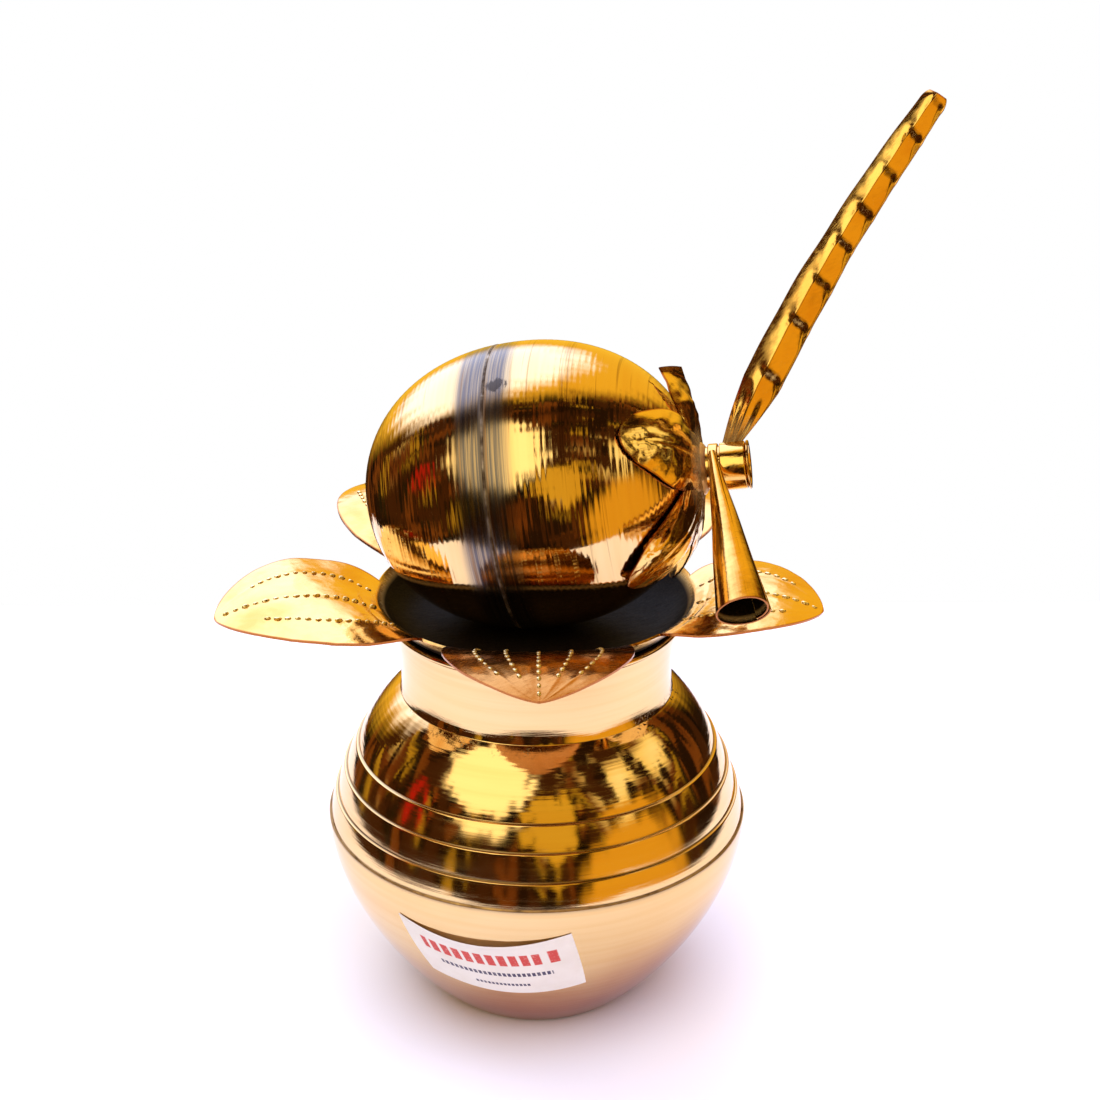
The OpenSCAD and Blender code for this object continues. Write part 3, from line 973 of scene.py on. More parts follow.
@dataclass(frozen=True)
class BeadRows:
    """Rows of small raised dashes, set along lines by Geometry Nodes (millimetres)."""

    spacing: float = 2.2
    length: float = 1.75
    width: float = 1.15
    height: float = 0.62
    uneven: Pair = (0.75, 1.15)
    seed: int = 4

    def tree(self, metal: bpy.types.Material) -> bpy.types.GeometryNodeTree:
        """Builds the node tree that sets the beads."""
        tree = bpy.data.node_groups.new("bead_rows", "GeometryNodeTree")
        face = tree.interface
        face.new_socket("Geometry", in_out="INPUT", socket_type="NodeSocketGeometry")
        for name in ("Spacing", "Length", "Width", "Height"):
            face.new_socket(name, in_out="INPUT", socket_type="NodeSocketFloat")
        face.new_socket("Seed", in_out="INPUT", socket_type="NodeSocketInt")
        face.new_socket("Geometry", in_out="OUTPUT", socket_type="NodeSocketGeometry")
        g = Nodes(tree)
        given = g.add("NodeGroupInput").outputs
        curve = g.add("GeometryNodeMeshToCurve", {"Mesh": given["Geometry"]})
        points = g.add("GeometryNodeCurveToPoints",
                       {"Curve": curve.outputs[0], "Length": given["Spacing"]}, mode="LENGTH")
        bead = g.add("GeometryNodeMeshUVSphere", {"Segments": 8, "Rings": 5, "Radius": 0.5})
        size = g.add("ShaderNodeCombineXYZ",
                     {0: given["Length"], 1: given["Width"], 2: given["Height"]})
        low, high = self.uneven
        uneven = g.add("FunctionNodeRandomValue", {2: low, 3: high, "Seed": given["Seed"]},
                       data_type="FLOAT")
        scale = g.add("ShaderNodeVectorMath", {0: size.outputs[0], "Scale": uneven.outputs[1]},
                      operation="SCALE")
        aim = g.add("FunctionNodeAlignRotationToVector",
                    {"Vector": points.outputs["Tangent"]}, axis="X", pivot_axis="AUTO")
        placed = g.add("GeometryNodeInstanceOnPoints", {
            "Points": points.outputs["Points"], "Instance": bead.outputs["Mesh"],
            "Rotation": aim.outputs[0], "Scale": scale.outputs[0]})
        real = g.add("GeometryNodeRealizeInstances", {0: placed.outputs[0]})
        coat = g.add("GeometryNodeSetMaterial", {0: real.outputs[0], "Material": metal})
        g.add("NodeGroupOutput", {0: coat.outputs[0]})
        return tree

    def along(
        self, name: str, lines: list[np.ndarray], metal: bpy.types.Material
    ) -> bpy.types.Object:
        """Sets beads along lines.

        Args:
            name: The piece's name.
            lines: Points of each line, in millimetres.
            metal: The beads' finish.

        Returns:
            A plain mesh object with all the beads.
        """
        points, edges = [], []
        for line in lines:
            first = len(points)
            points += (line * MM).tolist()
            edges += [(first + i, first + i + 1) for i in range(len(line) - 1)]
        mesh = bpy.data.meshes.new(name + "_path")
        mesh.from_pydata(points, edges, [])
        source = bpy.data.objects.new(name + "_path", mesh)
        bpy.context.scene.collection.objects.link(source)
        modifier = source.modifiers.new("beads", "NODES")
        modifier.node_group = self.tree(metal)
        sizes = {"Spacing": self.spacing * MM, "Length": self.length * MM,
                 "Width": self.width * MM, "Height": self.height * MM, "Seed": self.seed}
        for item in modifier.node_group.interface.items_tree:
            if item.in_out == "INPUT" and item.name in sizes:
                modifier[item.identifier] = sizes[item.name]
        bpy.context.view_layer.update()
        seen = source.evaluated_get(bpy.context.evaluated_depsgraph_get())
        made = bpy.data.meshes.new_from_object(seen)
        made.name = name
        source.modifiers.clear()
        bpy.data.objects.remove(source)
        made.shade_smooth()
        obj = bpy.data.objects.new(name, made)
        bpy.context.scene.collection.objects.link(obj)
        return obj


# ---------------------------------------------------------------- the coconut and its stem


@dataclass
class Coconut:
    """Hollow coconut of two spun halves, with its calyx and stem.

    Sizes are in millimetres in the coconut's own frame, where +X runs to the stem.
    """

    radius: float = 33.2
    blunt_end: float = 39.2
    stem_end: float = 37.9
    power: float = 2.1
    wall: float = 0.5
    seam_x: float = -5.4
    seam_half: float = 0.35
    pitch: float = 8.3
    yaw: float = 7.25
    tube_r: float = 4.8
    tube_end: float = 49.8
    tube_wall: float = 0.6
    flange_r: float = 5.6
    segments: int = 200
    lobes: tuple[tuple[float, float, float], ...] = (
        (111, 31.5, 6.0), (39, 53, 0.6), (-33, 57, 1.4), (-105, 46, 5.0), (183, 44, 4.0))
    centre: np.ndarray = field(default_factory=lambda: np.zeros(3))

    def __post_init__(self) -> None:
        """Finds the coconut's middle from its seam in the frame."""
        low, high = (np.array(corner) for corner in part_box("coconut_seam_solder"))
        p, y = math.radians(self.pitch), math.radians(self.yaw)
        up = np.array([[math.cos(p), 0, -math.sin(p)], [0, 1, 0], [math.sin(p), 0, math.cos(p)]])
        round_z = np.array([[math.cos(y), math.sin(y), 0], [-math.sin(y), math.cos(y), 0], [0, 0, 1]])
        self.turn = round_z @ up
        self.centre = (low + high) / 2 / MM - self.seam_x * self.turn[:, 0]

    def placed(self, points: np.ndarray) -> np.ndarray:
        """Moves points from the coconut's frame to the object's."""
        return points @ self.turn.T + self.centre

    def rolled(self, points: np.ndarray, degrees: float) -> np.ndarray:
        """Turns points about the stem, upwards to the back."""
        a = math.radians(degrees)
        turn = np.array([[1, 0, 0], [0, math.cos(a), -math.sin(a)], [0, math.sin(a), math.cos(a)]])
        return points @ turn.T

    def outline(self, end: float, first: float, steps: int = 600) -> np.ndarray:
        """Profile of (radius, place along the axis) from a place to an end."""
        start = math.asin(min(1.0, abs(first / end))) * np.sign(first * end)
        a = np.linspace(start, math.pi / 2, steps)
        x = end * np.sin(a)
        r = self.radius * np.maximum(0.0, 1 - np.abs(x / end) ** self.power) ** (1 / self.power)
        return np.stack([r, x], axis=1)

    def finish(self) -> bpy.types.Material:
        """Makes the coconut's metal: grey heat tint by the seam and dark tool marks."""

        def tint(g: Graph, at: object, colour: object, rough: object) -> tuple:
            """Adds the tinted band, its dark lines and a scuff."""
            x = g.add("ShaderNodeSeparateXYZ", {0: at}).outputs[0]
            off = g.math("ABSOLUTE", g.math("SUBTRACT", x, self.seam_x * MM - 0.0005))
            near = g.band(off, 0.0042, 0.0078, 1.0, 0.0)
            lines = g.noise(at, (1500.0, 14.0, 14.0), 4.0, 0.7, 2.0)
            streak = g.math("MULTIPLY", near, g.band(lines, 0.36, 0.58, 0.60, 1.0))
            colour = g.mix(streak, colour, (0.13, 0.115, 0.12))
            rings = g.noise(at, (520.0, 9.0, 9.0), 3.0, 0.7, 5.0)
            ring = g.band(rings, 0.60, 0.68, 0.0, 0.55)
            colour = g.mix(ring, colour, (0.26, 0.13, 0.05))
            scuff_at = g.add("ShaderNodeVectorMath", {0: at, 1: (-0.0025, -0.0150, 0.0290)},
                             operation="DISTANCE").outputs["Value"]
            rag = g.noise(at, (700.0, 260.0, 260.0), 3.0, 0.7, 1.0)
            off = g.math("ADD", scuff_at, g.math("MULTIPLY", rag, 0.006))
            scuff = g.band(off, 0.0045, 0.0058, 0.85, 0.0)
            colour = g.mix(scuff, colour, (0.07, 0.06, 0.06))
            rough = g.math("ADD", rough, g.math("MULTIPLY", streak, 0.14))
            return colour, g.math("MAXIMUM", rough, g.math("MULTIPLY", scuff, 0.5))

        finish = TurnedBrass(
            "coconut_spun_brass", centre=tuple(self.centre * MM), axis=0,
            turn=(0.0, -math.radians(self.pitch), -math.radians(self.yaw)),
            line_pitch=0.0006, lines=0.4, smooth=0.03, rough=0.12)
        return finish.make(tint)

    def half(
        self, name: str, end: float, first: float, seed: int, metal: bpy.types.Material
    ) -> bpy.types.Object:
        """Spins one half.

        Args:
            name: The piece's name.
            end: Place of its closed end along the axis.
            first: Place of its open edge.
            seed: Fixes its tool ripples.
            metal: Its finish.

        Returns:
            The piece, not yet on its body.
        """
        outer = even(self.outline(end, first), 0.21)
        if end > 0:
            outer = outer[outer[:, 0] > self.tube_r + 0.1]
        outer = rippled(outer, 1.4, 0.011 * -np.sign(end), seed)
        shrink = np.array([1 - self.wall / self.radius, 1 - self.wall / abs(end)])
        inner = (outer * shrink)[::-7]
        profile = np.concatenate([outer, inner, outer[:1]])
        if end < 0:
            tips = [(0.0, end)], [(0.0, end * shrink[1])]
            profile = np.concatenate([outer[:-1], *tips, inner[1:], outer[:1]])
        # Darker by the open edge at the seam, and on the stem half towards the stem end under the calyx.
        grime = np.clip(1 - np.abs(profile[:, 1:] - first) / 0.6, 0, 1) * 0.9
        if end > 0:
            grime = np.maximum(grime, np.clip((profile[:, 1:] - 34.5) / 2.5, 0, 1) * 0.7)
        profile = profile + [0.0, self.seam_half * np.sign(end)] if end > 0 else profile
        grid = self.placed(upright_to_x(spun(profile, self.segments)))
        return Surface().grid(grid, grime=grime).build(name, metal, sharp=55)

    def halves(self, metal: bpy.types.Material) -> None:
        """Makes both halves and the solder between them."""
        blunt = self.half("coconut_blunt_shell", -self.blunt_end, self.seam_x - self.seam_half, 11, metal)
        install(blunt, Body.COCONUT, ["coconut_blunt_half"])
        stem = self.half("coconut_stem_shell", self.stem_end, self.seam_x, 12, metal)
        install(stem, Body.COCONUT, ["coconut_stem_half"])
        r = float(self.outline(-self.blunt_end, self.seam_x)[0, 0])
        x, w = self.seam_x, self.seam_half
        line = [(r - 0.5, x - w), (r - 0.03, x - w), (r + 0.07, x - 0.6 * w), (r + 0.1, x),
                (r + 0.07, x + 0.6 * w), (r - 0.03, x + w), (r - 0.5, x + w), (r - 0.5, x - w)]

        def uneven(angle: np.ndarray, place: np.ndarray) -> np.ndarray:
            """Height of the solder line round the seam."""
            ring = np.stack([np.cos(angle), np.sin(angle)], axis=-1) * r
            return np.where(np.abs(place - x) < 0.9 * w, crumple(ring, 7.0, 0.05, 2) - 0.03, 0.0)

        grid = self.placed(upright_to_x(spun(np.array(line), 240, uneven)))
        solder = Braze("seam_solder", metal=(0.36, 0.30, 0.24), burnt_share=0.56).make()
        ring = Surface().grid(grid).build("coconut_seam_line", solder)
        install(ring, Body.COCONUT, ["coconut_seam_solder"])

    def lobe(self, index: int, steps: int = 44, strips: int = 30) -> tuple[np.ndarray, np.ndarray]:
        """One crumpled lobe of the calyx, and how near its points are to the cut edge."""
        turn, reach, stand_off = self.lobes[index]
        t, k = np.meshgrid(np.linspace(0, 1, steps + 1), np.linspace(-1, 1, strips + 1), indexing="ij")
        width = np.maximum(0.3, 9.5 * np.sin(math.pi * (0.12 + 0.88 * t)).clip(0, 1) ** 0.55)
        if index == 0:
            width = np.maximum(width * 0.9, 3.4)
        width = width * (1 + 0.07 * np.sin(11 * t + 3 * index) * t)
        around = np.radians(10.5 + (reach - 10.5) * t)
        fold = crumple(np.stack([t * 24, k * width], axis=-1), 12.0, 1.0, 40 + index)
        dome = 1.3 * np.cos(k * math.pi / 2) * np.sin(math.pi * t) ** 2
        crease = -0.35 * np.exp(-((k * width / 0.7) ** 2)) * np.sin(math.pi * np.clip(t * 1.15, 0, 1))
        lift = 0.75 + dome + crease + 0.75 * fold * np.clip(t * 5, 0, 1) * np.clip((1 - t) * 6, 0.3, 1)
        lift = np.maximum(lift, 0.5) + 0.5
        x = (self.stem_end + lift) * np.cos(around)
        if index == 0:
            x = x + 2.2 * k * t
        r = (self.radius + lift) * np.sin(around) + stand_off * t**1.6
        angle = np.radians(turn) + k * width / r
        points = np.stack([x + self.seam_half, -r * np.cos(angle), r * np.sin(angle)], axis=-1)
        to_edge = np.minimum((1 - np.abs(k)) * width, (1 - t) * 20)
        return points, np.clip(1 - to_edge / 0.8, 0, 1)

    def calyx(self, metal: bpy.types.Material) -> None:
        """Makes the calyx: a hub and five lobes that hug the coconut."""
        surface = Surface()
        for index in range(len(self.lobes)):
            points, edge = self.lobe(index)
            # Darker at the lobe roots next to the hub.
            t = np.linspace(1, 0, points.shape[0])[:, None]
            surface.grid(self.placed(points), flip=True, edge=edge, grime=np.clip(t - 0.75, 0, 1) * 2)
        obj = surface.build("calyx_sheet", metal, wall=0.4, sharp=60)
        hub = np.array([(self.tube_r, 0.0), (6.4, 0.0), (7.2, -0.35), (7.6, -0.6), (7.5, -0.9),
                        (6.6, -0.62), (self.tube_r, -0.5), (self.tube_r, 0.0)])
        hub[:, 1] += self.stem_end + 1.05
        grid = self.placed(upright_to_x(spun(hub, 96)))
        # The hub is evenly darker.
        disc = Surface().grid(grid, grime=np.full((len(hub), 1), 0.5)).build("calyx_hub", metal)
        install(obj, Body.COCONUT, ["calyx"])
        install(disc, Body.COCONUT)

    def stem(self, metal: bpy.types.Material, filler: bpy.types.Material) -> None:
        """Makes the rolled tube with its turned-out end, and the braze at its foot."""
        r, inner = self.tube_r, self.tube_r - self.tube_wall
        end = self.tube_end
        line = np.array([(r, self.stem_end - 3), (r, end - 0.95), (r + 0.1, end - 0.7),
                         (self.flange_r - 0.15, end - 0.62), (self.flange_r, end - 0.35),
                         (self.flange_r - 0.1, end - 0.08), (r + 0.2, end), (inner + 0.3, end - 0.15),
                         (inner, end - 0.7), (inner, self.stem_end - 3), (r, self.stem_end - 3)])
        fine = rounded(line, 0.12, 20)

        def lap(angle: np.ndarray, _: np.ndarray) -> np.ndarray:
            """Small step where the rolled sheet overlaps."""
            return -0.10 * np.clip((angle - 1.2) / 1.2, 0, 1) * (angle < 2.4)

        grid = self.placed(upright_to_x(spun(fine, 160, lap)))
        near_end = np.clip((fine[:, 1:] - end + 0.9) / 0.6, 0, 1) * 0.6
        obj = Surface().grid(grid, edge=near_end).build("stem_rolled_tube", metal, sharp=50)
        install(obj, Body.COCONUT, ["stem_tube"])
        foot = self.stem_end + 1.0
        line = np.array([(r, foot), (r + 1.3, foot), (r + 1.22, foot + 0.25), (r + 0.95, foot + 0.6),
                         (r + 0.4, foot + 1.0), (r, foot + 1.2), (r, foot)])

        def lumps(angle: np.ndarray, place: np.ndarray) -> np.ndarray:
            """Lumps of the braze round the stem."""
            ring = np.stack([np.cos(angle), np.sin(angle)], axis=-1) * 6
            return np.where(place > foot + 0.1, crumple(ring, 5.0, 0.3, 7) - 0.1, 0.0)

        grid = self.placed(upright_to_x(spun(rounded(line, 0.2, 20), 120, lumps)))
        bead = Surface().grid(grid).build("stem_braze_lump", filler)
        install(bead, Body.COCONUT, ["stem_braze_bead"])

    def make(self) -> None:
        """Makes the coconut."""
        self.halves(self.finish())
        sheet = BeatenBrass("calyx_sheet", dent=0.005, strength=0.5).make()
        self.calyx(sheet)
        self.stem(sheet, Braze("stem_braze", metal=(0.70, 0.44, 0.18), burnt_share=0.36).make())


# ---------------------------------------------------------------- the two tails


@dataclass
class LongLeaf:
    """Long folded leaf of sheet, pinched along its ridge, on a loop round the stem (millimetres)."""

    nut: Coconut
    sleeve: Pair = (43.2, 48.9)
    loop_gap: float = 0.06
    loop_wall: float = 0.6
    length: float = 89.0
    half_width: float = 4.7
    foot_half_width: float = 2.2
    splay: float = 36.0
    lean: float = 17.0
    taper: float = 1.7
    bow: float = 2.2
    fold: Pair = (0.5, 1.9)
    sheet: float = 0.45
    pinches: tuple[float, ...] = (0.18, 0.33, 0.445, 0.555, 0.65, 0.76, 0.87, 0.965)

    def surface(self, t: np.ndarray, k: np.ndarray) -> np.ndarray:
        """Front of the blade at shares of its length and half width, in the coconut's frame."""
        grown = np.minimum(1, t * 6)
        splay = math.radians(self.splay)
        half = self.foot_half_width + (self.half_width - self.foot_half_width) * grown
        half = half - self.taper * t**1.5
        blunt = np.sqrt(np.clip(1 - np.clip((t - 0.972) / 0.032, 0, 1) ** 2, 0, 1))
        half = half * (0.45 + 0.55 * blunt)
        half = half * (1 + 0.02 * np.sin(31 * t) + 0.02 * np.sin(17 * t + 1))
        ridge = self.fold[0] + self.fold[1] * grown
        ridge = ridge * (1 - 0.3 * t) * (1 - np.abs(k + 0.1).clip(0, 1)) ** 0.9
        dent = np.zeros_like(t)
        for i, place in enumerate(self.pinches):
            along = (t - place) * self.length
            force = 0.62 + 0.1 * math.sin(2.3 * i)
            above = np.where(along > 0, along / 1.9, along / 3.4)
            dent += force * np.exp(-(above**2)) * np.exp(-(((k - 0.30 + 0.05 * along) / 0.58) ** 4))
            dent -= 0.2 * force * np.exp(-(((along - 3.2) / 1.4) ** 2)) * np.exp(-(((k - 0.1) / 0.5) ** 2))
        flat = np.stack([t * self.length, k * half], axis=-1)
        folds = 0.35 * np.sin(k * 9 + t * 20) * np.clip(1 - t * 7, 0, 1)
        out = ridge - dent * grown + 0.10 * crumple(flat, 16.0, 1.0, 31) * grown + folds
        out = np.clip(out, -0.1, None)
        bow = self.bow * np.sin(math.pi * t)
        turned = splay * grown
        x = math.sin(splay) * self.length * t + k * half * np.cos(turned) - bow * math.cos(splay)
        z = math.cos(splay) * self.length * t - k * half * np.sin(turned) + bow * math.sin(splay)
        points = np.stack([x, -out - 0.25, z], axis=-1)
        foot = np.array([sum(self.sleeve) / 2, 0.35, self.nut.tube_r + self.loop_gap + 0.25])
        return self.nut.rolled(points + foot, -self.lean)

    def make(self) -> None:
        """Makes the blade and its loop."""
        metal = BeatenBrass(
            "long_leaf_sheet", bright=(0.84, 0.55, 0.17), dent=0.010, strength=0.12, scratches=0.08,
        ).make()
        t, k = np.meshgrid(np.linspace(0, 1, 241), np.linspace(-1, 1, 41), indexing="ij")
        edge = np.clip(1 - np.minimum((1 - np.abs(k)) * 5, (1 - t) * 80) / 0.6, 0, 1)
        # Darker near the foot, where the blade meets its loop.
        darker_near_foot = np.clip(1 - t * 12, 0, 1) * 0.5
        grid = self.nut.placed(self.surface(t, k))
        blade = Surface().grid(grid, flip=True, edge=edge, grime=darker_near_foot)
        obj = blade.build("long_leaf_blade", metal, wall=self.sheet, sharp=70)
        install(obj, Body.LONG_LEAF, ["long_leaf"])
        loop = SheetLoop(self.nut, self.sleeve, self.loop_gap, self.loop_wall, start=80.0, seed=2)
        loop.make("long_leaf_loop", metal, Body.LONG_LEAF)


@dataclass
class SheetLoop:
    """Strip of sheet bent round the stem with its ends lapped (millimetres)."""

    nut: Coconut
    span: Pair
    gap: float
    wall: float
    start: float
    seed: int

    def make(self, name: str, metal: bpy.types.Material, body: Body) -> None:
        """Makes the loop.

        Args:
            name: The piece's name.
            metal: Its finish.
            body: The body that it turns with.
        """
        inner = self.nut.tube_r + self.gap
        low, high = self.span
        line = np.array([(inner, low), (inner + self.wall - 0.15, low), (inner + self.wall, low + 0.2),
                         (inner + self.wall, (low + high) / 2), (inner + self.wall, high - 0.2),
                         (inner + self.wall - 0.15, high), (inner, high), (inner, low)])
        fine = rounded(line, 0.1, 20)

        def lap(angle: np.ndarray, _: np.ndarray) -> np.ndarray:
            """Step at the lap, on the outside only."""
            far = np.degrees(angle) - self.start
            return np.where((far > 0) & (far < 150), -0.16 * (1 - far / 150), 0.0)

        grid = spun(fine, 150, lap)
        inside = np.hypot(grid[..., 0], grid[..., 1]) < inner + 0.02
        keep = spun(fine, 150)
        grid = np.where(inside[..., None], keep, grid)
        edge = np.clip(np.maximum(low + 0.4 - fine[:, 1:], fine[:, 1:] - high + 0.4) / 0.4, 0, 1)
        grid = self.nut.placed(upright_to_x(grid))
        obj = Surface().grid(grid, edge=edge * 0.7).build(name, metal, sharp=50)
        install(obj, body)


@dataclass
class RolledCone:
    """Sheet rolled into a long cone, hung from a narrow strap round the stem (millimetres)."""

    nut: Coconut
    strap: Pair = (40.6, 42.8)
    loop_gap: float = 0.06
    loop_wall: float = 0.6
    length: float = 43.4
    mouth_r: float = 6.3
    tip_r: float = 0.75
    dip: float = 34.0
    splay: float = 7.6
    seam_turn: float = -62.0
    wrap: float = 405.0
    sheet: float = 0.4

    def point(self, along: np.ndarray, angle: np.ndarray, depth: float) -> np.ndarray:
        """Places on the rolled sheet, in the coconut's frame.

        Args:
            along: Distance from the tip.
            angle: Angle round the cone, past a full turn where the sheet laps.
            depth: Distance inside the outer face.

        Returns:
            Their coordinates.
        """
        share = along / self.length
        under = np.clip((2 * math.pi - angle) / (2 * math.pi), 0, 1)
        radius = self.tip_r + (self.mouth_r - self.tip_r) * share
        radius = radius * (1 - 0.13 * under * share) - 0.05
        radius = radius + 0.10 * share * np.sin(3 * angle + 1.0) + 0.05 * np.sin(along / 3.0 + angle)
        radius = np.maximum(radius - depth, 0.05)
        start = math.radians(self.seam_turn)
        x, y = radius * np.cos(angle + start), radius * np.sin(angle + start)
        a = math.radians(self.splay)
        lift = self.nut.tube_r + self.loop_gap + self.loop_wall + self.tip_r - 0.1
        flat = np.stack([x * math.cos(a) + along * math.sin(a),
                         x * math.sin(a) - along * math.cos(a), y], axis=-1)
        flat = flat + np.array([sum(self.strap) / 2, 0.0, lift])
        return self.nut.rolled(flat, self.dip)

    def make(self) -> None:
        """Makes the cone and its strap."""
        metal = BeatenBrass("rolled_cone_sheet", bright=(0.84, 0.54, 0.17), dent=0.009, strength=0.3).make()
        share, turn = np.meshgrid(np.linspace(0, 1, 100), np.linspace(0, 1, 161), indexing="ij")
        angle = turn * math.radians(self.wrap)
        along = self.length * share - (0.35 + 0.35 * np.sin(angle + 2.0)) * share**6
        outer = self.point(along, angle, 0.0)
        inner = self.point(along, angle, self.sheet)
        grid = np.concatenate([outer, inner[::-1], outer[:1]])
        mouth = np.clip((share - 0.985) / 0.01, 0, 1) + np.clip((turn - 0.985) / 0.01, 0, 1) * 0.8
        edge = np.concatenate([mouth, mouth[::-1], mouth[:1]])
        # Painted shade: the cone's inside face goes near black, except close to the mouth.
        painted_hollow_shade = np.clip((0.985 - share) * 30, 0, 1)
        grime = np.concatenate([0 * painted_hollow_shade, painted_hollow_shade[::-1], 0 * painted_hollow_shade[:1]])
        surface = Surface().grid(self.nut.placed(grid), edge=np.clip(edge, 0, 1), grime=grime)
        for column in (0, -1):
            side = np.stack([outer[:, column], inner[:, column]], axis=1)
            surface.grid(self.nut.placed(side), flip=column == 0)
        obj = surface.build("rolled_cone_sheet", metal, sharp=55)
        install(obj, Body.CONE, ["rolled_cone"])
        SheetLoop(self.nut, self.strap, self.loop_gap, self.loop_wall, start=200.0, seed=5).make(
            "rolled_cone_strap", metal, Body.CONE)
        self.tongue(metal)

    def tongue(self, metal: bpy.types.Material) -> None:
        """Makes the short flattened neck between the strap and the cone."""
        t, angle = np.meshgrid(np.linspace(0, 1, 14), np.linspace(0, 2 * math.pi, 41), indexing="ij")
        angle[:, -1] = 0.0
        inner = self.nut.tube_r + self.loop_gap
        half_w, half_t = 1.0 - 0.2 * t, 0.4 + 0.25 * t
        shrink = np.where((t < 1e-6) | (t > 1 - 1e-6), 0.0, 1.0)
        x = sum(self.strap) / 2 + 0.5 * t + half_w * np.cos(angle) * shrink
        y = -0.3 - 4.3 * t
        z = inner + 0.62 + 0.55 * t + half_t * np.sin(angle) * shrink
        grid = self.nut.placed(self.nut.rolled(np.stack([x, y, z], axis=-1), self.dip))
        obj = Surface().grid(grid).build("rolled_cone_neck", metal)
        install(obj, Body.CONE)


# ---------------------------------------------------------------- stage


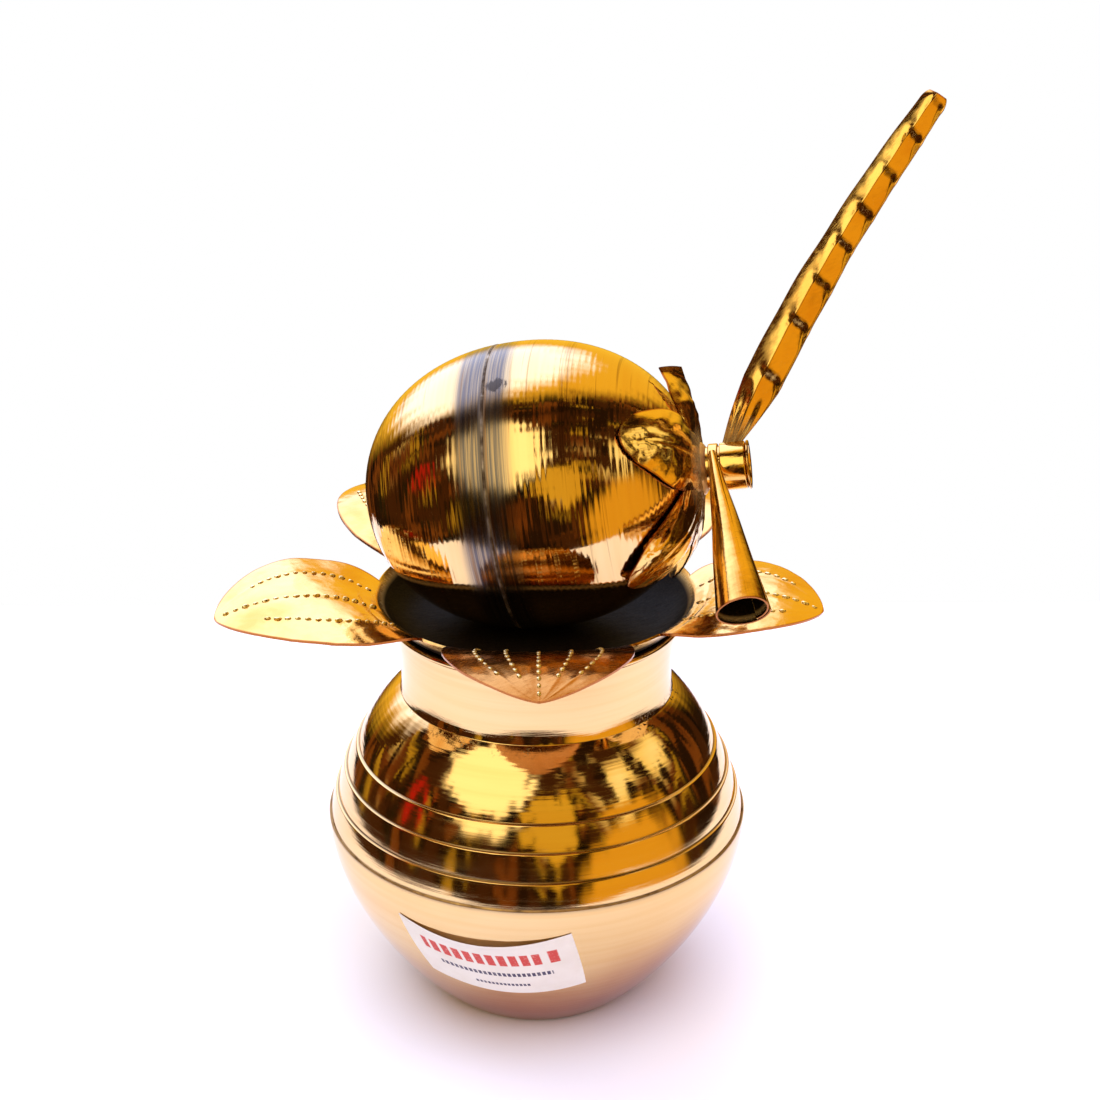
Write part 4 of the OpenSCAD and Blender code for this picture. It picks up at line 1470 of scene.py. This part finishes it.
@dataclass(frozen=True)
class Studio:
    """Plain pale floor, soft light and the camera."""

    eye: Direction = (0.0, -0.43156, 0.29627)
    look: Direction = (0.00696, 0.92119, -0.38907)
    lens: float = 65.45
    floor_half: float = 0.22
    floor_z: float = -0.0002
    daylight_power: float = 2.8
    daylight_colour: Colour = (0.96, 1.0, 1.45)
    daylight_spread: float = 75.0
    daylight_tilt: Pair = (18.0, 8.0)
    backdrop: Colour = (1.0, 1.0, 1.0)
    shelf_scale: Direction = (1.9, 1.9, 0.8)
    shelf_ends: tuple[tuple[float, Colour], ...] = (
        (0.0, (0.008, 0.005, 0.003)), (1.0, (1.9, 1.8, 1.5)))
    shelf_colours: tuple[tuple[float, Colour], ...] = (
        (0.36, (0.008, 0.005, 0.003)), (0.38, (0.16, 0.045, 0.008)), (0.455, (0.22, 0.07, 0.012)),
        (0.465, (0.015, 0.010, 0.004)), (0.50, (0.03, 0.02, 0.006)), (0.51, (0.30, 0.17, 0.015)),
        (0.555, (0.60, 0.36, 0.03)), (0.565, (0.10, 0.03, 0.008)), (0.60, (0.18, 0.05, 0.01)),
        (0.70, (1.3, 1.0, 0.35)),
    )
    posts: tuple[tuple[Direction, float, float, Colour], ...] = (
        ((6.0, 6.0, 0.7), 0.49, 0.52, (0.022, 0.009, 0.003)),
        ((5.0, 5.0, 1.1), 0.53, 0.56, (0.06, 0.020, 0.005)),
    )
    rag_scale: Direction = (9.0, 9.0, 1.8)
    rag: float = 0.16
    patches: tuple[tuple[Direction, float, float, Colour], ...] = (
        ((0.80, -0.57, -0.20), 0.84, 0.93, (0.95, 0.48, 0.03)),
        ((-0.45, -0.62, 0.64), 0.885, 0.93, (1.9, 1.6, 0.9)),
        ((-0.90, -0.30, 0.15), 0.95, 0.97, (0.55, 0.02, 0.01)),
        ((0.15, -0.93, 0.33), 0.955, 0.97, (0.85, 0.50, 0.04)),
        ((0.45, -0.80, 0.15), 0.965, 0.98, (0.05, 0.10, 0.05)),
        ((-0.10, 0.80, 0.59), 0.56, 0.76, (1.1, 0.66, 0.05)),
        ((-0.34, 0.68, 0.65), 0.77, 0.92, (1.9, 2.1, 2.8)),
    )

    def camera(self) -> None:
        """Places the camera."""
        data = bpy.data.cameras.new("camera")
        data.lens, data.sensor_width, data.clip_start = self.lens, 36.0, 0.01
        obj = bpy.data.objects.new("camera", data)
        obj.location = self.eye
        obj.rotation_euler = Vector(self.look).to_track_quat("-Z", "Y").to_euler()
        bpy.context.scene.collection.objects.link(obj)
        bpy.context.scene.camera = obj

    def floor(self) -> None:
        """Lays the floor."""
        g = Graph("pale_floor")
        material = g.shade({"Base Color": (0.88, 0.88, 0.88), "Roughness": 0.9})
        s, z = self.floor_half, self.floor_z
        mesh = bpy.data.meshes.new("floor")
        mesh.from_pydata([(-s, -s, z), (s, -s, z), (s, s, z), (-s, s, z)], [], [(0, 1, 2, 3)])
        mesh.materials.append(material)
        obj = bpy.data.objects.new("floor", mesh)
        bpy.context.scene.collection.objects.link(obj)

    def room(self) -> None:
        """Sets the soft surroundings: a warm dim room with a bright side behind the object."""
        world = bpy.data.worlds.new("studio")
        world.use_nodes = True
        bpy.context.scene.world = world
        world.node_tree.nodes.clear()
        g = Nodes(world.node_tree)
        coords = g.add("ShaderNodeTexCoord").outputs["Generated"]
        shelves = g.add("ShaderNodeValToRGB", {0: g.noise(coords, self.shelf_scale, 1.2)})
        stops = shelves.color_ramp.elements
        for stop, (place, colour) in zip(stops, self.shelf_ends):
            stop.position, stop.color = place, (*colour, 1)
        for place, colour in self.shelf_colours:
            stops.new(place).color = (*colour, 1)
        room = shelves.outputs[0]
        for scale, low, high, colour in self.posts:
            room = g.mix(g.band(g.noise(coords, scale, 2.0), low, high), room, colour)
        rag = g.math("MULTIPLY", g.noise(coords, self.rag_scale, 2.0), self.rag)
        for place, low, high, colour in self.patches:
            near = g.add("ShaderNodeVectorMath", {0: coords, 1: place}, operation="DOT_PRODUCT")
            near = g.math("ADD", near.outputs["Value"], rag)
            room = g.mix(g.band(near, low + self.rag / 2, high + self.rag / 2), room, colour)
        seen = g.add("ShaderNodeLightPath").outputs["Is Camera Ray"]
        ground = g.add("ShaderNodeBackground", {0: g.mix(seen, room, self.backdrop)})
        g.add("ShaderNodeOutputWorld", {0: ground.outputs[0]})

    def daylight(self) -> None:
        """Hangs one wide soft light that whitens the floor evenly."""
        lamp = bpy.data.lights.new("soft_daylight", "SUN")
        lamp.energy, lamp.color = self.daylight_power, self.daylight_colour
        lamp.angle = math.radians(self.daylight_spread)
        obj = bpy.data.objects.new("soft_daylight", lamp)
        obj.rotation_euler = (*(math.radians(a) for a in self.daylight_tilt), 0.0)
        obj.visible_glossy = False
        bpy.context.scene.collection.objects.link(obj)

    def make(self) -> None:
        """Sets the stage."""
        bpy.context.scene.view_settings.view_transform = "Standard"
        self.camera()
        self.floor()
        self.room()
        self.daylight()


def main() -> None:
    """Loads the frame, then makes the stage and every sub-assembly."""
    logging.basicConfig(level=logging.INFO, format="%(name)s: %(message)s")
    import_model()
    Studio().make()
    Pot().make()
    LeafCrown().make()
    nut = Coconut()
    nut.make()
    LongLeaf(nut).make()
    RolledCone(nut).make()


if __name__ == "__main__":
    main()
